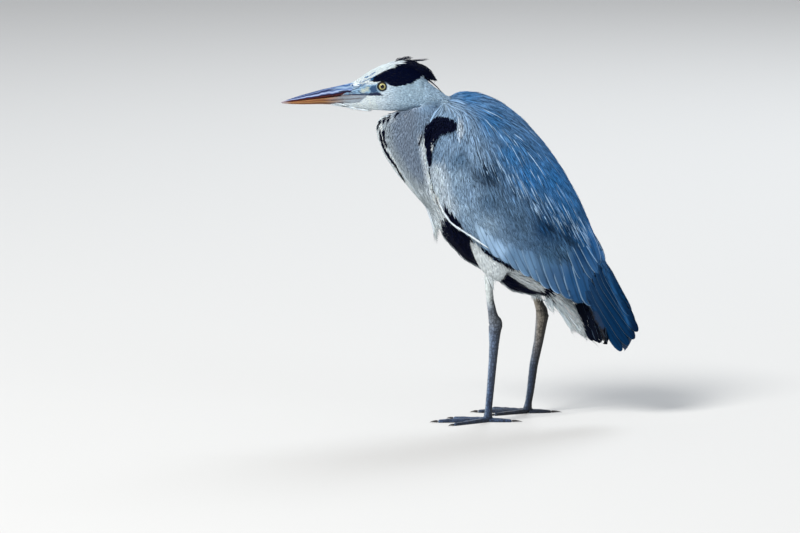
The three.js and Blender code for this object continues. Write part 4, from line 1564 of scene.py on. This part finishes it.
def onScapulars(places):
    x, y, z = places.T * 1000
    reach = overScapulars(x, z)
    return ease(reach, 12, 30) * (1 - 0.8 * ease(reach, 75, 115)) * ease(np.abs(y), 14, 30) * ease(x, 6, 34)


def plumeLengths(places):  # no plume's tip comes below the long shoulder feathers' edge
    return np.clip(overScapulars(places[:, 0] * 1000, places[:, 2] * 1000) + 5, 20, 85) * mm


def crestLengths(places):
    return 1 - 0.55 * ease(places[:, 0], -0.075, -0.05)


growTufts("plumeShadows", ["shoulder", "covert"], "lance", (feather["silver"], "slate_feathers"),
          spacing=0.0082, length=(0.5, 1.0), width=0.0024, rise=0.0046, turn=0.05, keep=onScapulars,
          shade=towardsShade, thickness=0.10, lengthScale=plumeLengths)
growTufts("silverPlumes", ["shoulder", "covert"], "lance", (feather["silver"], "pale_grey_feathers"),
          spacing=0.0070, length=(0.4, 1.0), width=0.0019, rise=0.0056, turn=0.05, keep=onScapulars,
          shade=towardsSilver, thickness=0.20, lengthScale=plumeLengths, rootShade=0.6)
growTufts("crestPlumes", ["crest"], "lance", black, spacing=0.0019, length=(0.013, 0.024), width=0.0014,
          rise=0.0014, lift=0.0012, lengthScale=crestLengths)

# bundles of loose plumes: root, middle and tip in the side view, distances aside, how many, spread
crestBundles = [
    ((-108, 572), (-99, 577), (-90, 579), (2, 2, 1), 4, 1.2),
    ((-98, 574), (-88, 579), (-77, 580), (2, 2, 2), 6, 1.3),
    ((-88, 576), (-70, 576), (-51, 578), (2, 2, 1), 3, 0.8),
    ((-72, 570), (-56, 564), (-41, 549), (4, 3, 3), 8, 1.2),
    ((-74, 562), (-60, 556), (-47, 544), (6, 6, 5), 6, 1.2),
    ((-68, 552), (-48, 542), (-27, 521), (2.5, 2.5, 2.5), 5, 0.5),
]
chinBundles = [
    ((-208, 507), (-198, 505), (-186, 502.5), (3, 3.5, 4.5), 16, 0.6),
    ((-202, 507.5), (-190, 506), (-178, 503.5), (5.5, 6.5, 8), 18, 0.6),
    ((-202, 504.5), (-190, 503.5), (-178, 501), (1.5, 2, 2), 14, 0.6),
    ((-186, 503), (-174, 500.5), (-160, 497), (3, 4, 5), 18, 0.7),
    ((-172, 500.5), (-158, 497.6), (-142, 496), (4, 6, 8), 16, 0.6),
]
breastBundles = [
    ((-58, 356), (-45, 326), (-37, 294), (10, 9, 5), 20, 2.0),
    ((-52, 352), (-41, 328), (-33, 304), (16, 14, 9), 18, 2.2),
    ((-60, 352), (-47, 322), (-38, 284), (4, 4, 3), 14, 1.6),
]
ventBundles = [
    ((145, 196), (166, 166), (184, 136), (14, 12, 9), 16, 3.6),
    ((158, 190), (180, 160), (199, 131), (10, 9, 7), 12, 2.6),
    ((135, 203), (143, 190), (150, 172), (18, 18, 17), 10, 2.6),
]


def edgeBundles():  # the pale line along the front edge of the closed wing
    bundles = []
    for t in np.linspace(0.16, 0.62, 11):
        spots = along(wingEdge[3:10], [t, t + 0.07, t + 0.15]) + (1.4, 1.0)
        out = [surfaceDepth(shellTree, x * mm, z * mm, -1) for x, z in spots]
        if not np.isnan(out).any():
            bundles.append((*map(tuple, spots), tuple(d * 1000 + 1.2 for d in out), 3, 0.35))
    return bundles


growStrands("crestWisps", crestBundles, "ink", black, width=0.0011)
growStrands("chinFeathers", chinBundles, "white", softWhite, width=0.0011)
growStrands("wingEdgeWhite", edgeBundles(), "white", softWhite, width=0.0027)
breastPlumes = growStrands("breastPlumes", breastBundles, "white", neckDown, width=0.0016)
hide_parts("breast_plumes")
growStrands("ventPlumes", ventBundles, "ventWhite", softWhite, width=0.0017)


# bill, eyes and claws
def makeBillHalf(name, nodeName, colourOf, slot):
    half = growTogether(name, [nodeName], billValues["closeGap"], billValues["voxel"], rounds=5)
    x, y, z = vertexPlaces(half.data).T * 1000
    groove = onLine(x, z, billValues["groove"], 0.2, 1.0)
    nostril = onLine(x, z, billValues["nostril"], 0.2, 0.9)
    outward = ease(np.abs(y), 1.0, 2.4)
    drawIn(half, (0.25 * groove * ease(-x, 176, 190) + 0.7 * nostril) * outward * mm)
    paint(half.data, "horn", colourOf(vertexPlaces(half.data)))
    half.data.materials.append(billHorn)
    finishPiece(half, slot, nodeName)


billHorn = makeGrainMaterial("billHorn", "horn", fine=420.0, contrast=0.2, bump=0.15, stretch=(0.16, 1, 1),
                             coat=0.04, gloss=0.14)
clawHorn = makeGrainMaterial("clawHorn", "horn", fine=500.0, contrast=0.3, bump=0.2, coat=0.2)
makeBillHalf("billUpper", "bill_upper", upperBillColour, "bill_upper_horn")
makeBillHalf("billLower", "bill_lower", lowerBillColour, "bill_lower_horn")


def makeEyeMaterial():
    material, tree, shader = newMaterial("eyeball", 0.12)
    x, y, z = eyeValues["centre"]
    shifted = vectorNode(tree, "SUBTRACT", addNode(tree, "TexCoord").outputs["Object"], (x, 0, z))[0]
    flat = vectorNode(tree, "MULTIPLY", shifted, (1000, 0, 1000))[0]
    away = vectorNode(tree, "LENGTH", flat)["Value"]
    fibres = addNode(tree, "TexNoise", {"Vector": flat, "Scale": 1.6, "Detail": 4.0}).outputs["Fac"]
    iris = mixColour(tree, fibres, (0.30, 0.28, 0.08, 1), (0.60, 0.56, 0.24, 1))
    rimmed = mixColour(tree, easeNode(tree, away, *eyeValues["irisRim"]), iris, (0.05, 0.04, 0.02, 1))
    pupil = mixColour(tree, easeNode(tree, away, *eyeValues["pupil"]), (0.002, 0.002, 0.003, 1), rimmed)
    feed(tree, shader, {"Base Color": pupil, "Specular IOR Level": 0.2})
    feed(tree, shader, {"Coat Weight": 0.35, "Coat Roughness": 0.03})
    return material


def makeEye(side, sign, material):
    x, y, z = eyeValues["centre"]
    bpy.ops.mesh.primitive_uv_sphere_add(
        segments=48, ring_count=32, radius=eyeValues["ball"], location=(x, sign * y, z),
        rotation=(math.pi / 2, 0, 0))
    eye = settle(bpy.context.object, "eyeball_" + side)
    places = vertexPlaces(eye.data)
    local = places - (x, sign * y, z)
    bulge = ease(sign * local[:, 1], 0.0052, 0.008) * 0.0004
    places[:, 1] += sign * bulge
    setVertexPlaces(eye.data, places)
    eye.data.materials.append(material)
    finishPiece(eye, "eye", "eye_" + side)


eyeMaterial = makeEyeMaterial()
for side, sign in sideSign.items():
    makeEye(side, sign, eyeMaterial)


def clawColour(places):
    return np.tile(bare["claw"], (len(places), 1)) * (1 + 0.2 * mottle(places, 0.003))[:, None]


def makeClaws():
    clawNodes = [f"claw_{toe}_{side}" for side in sideSign for toe in toeNames]
    claws = growTogether("claws", clawNodes, 0, legValues["clawVoxel"], rounds=4)
    paint(claws.data, "horn", clawColour(vertexPlaces(claws.data)))
    claws.data.materials.append(clawHorn)
    finishPiece(claws, "claw_horn", *clawNodes)


makeClaws()
print("bill, eyes and claws made")
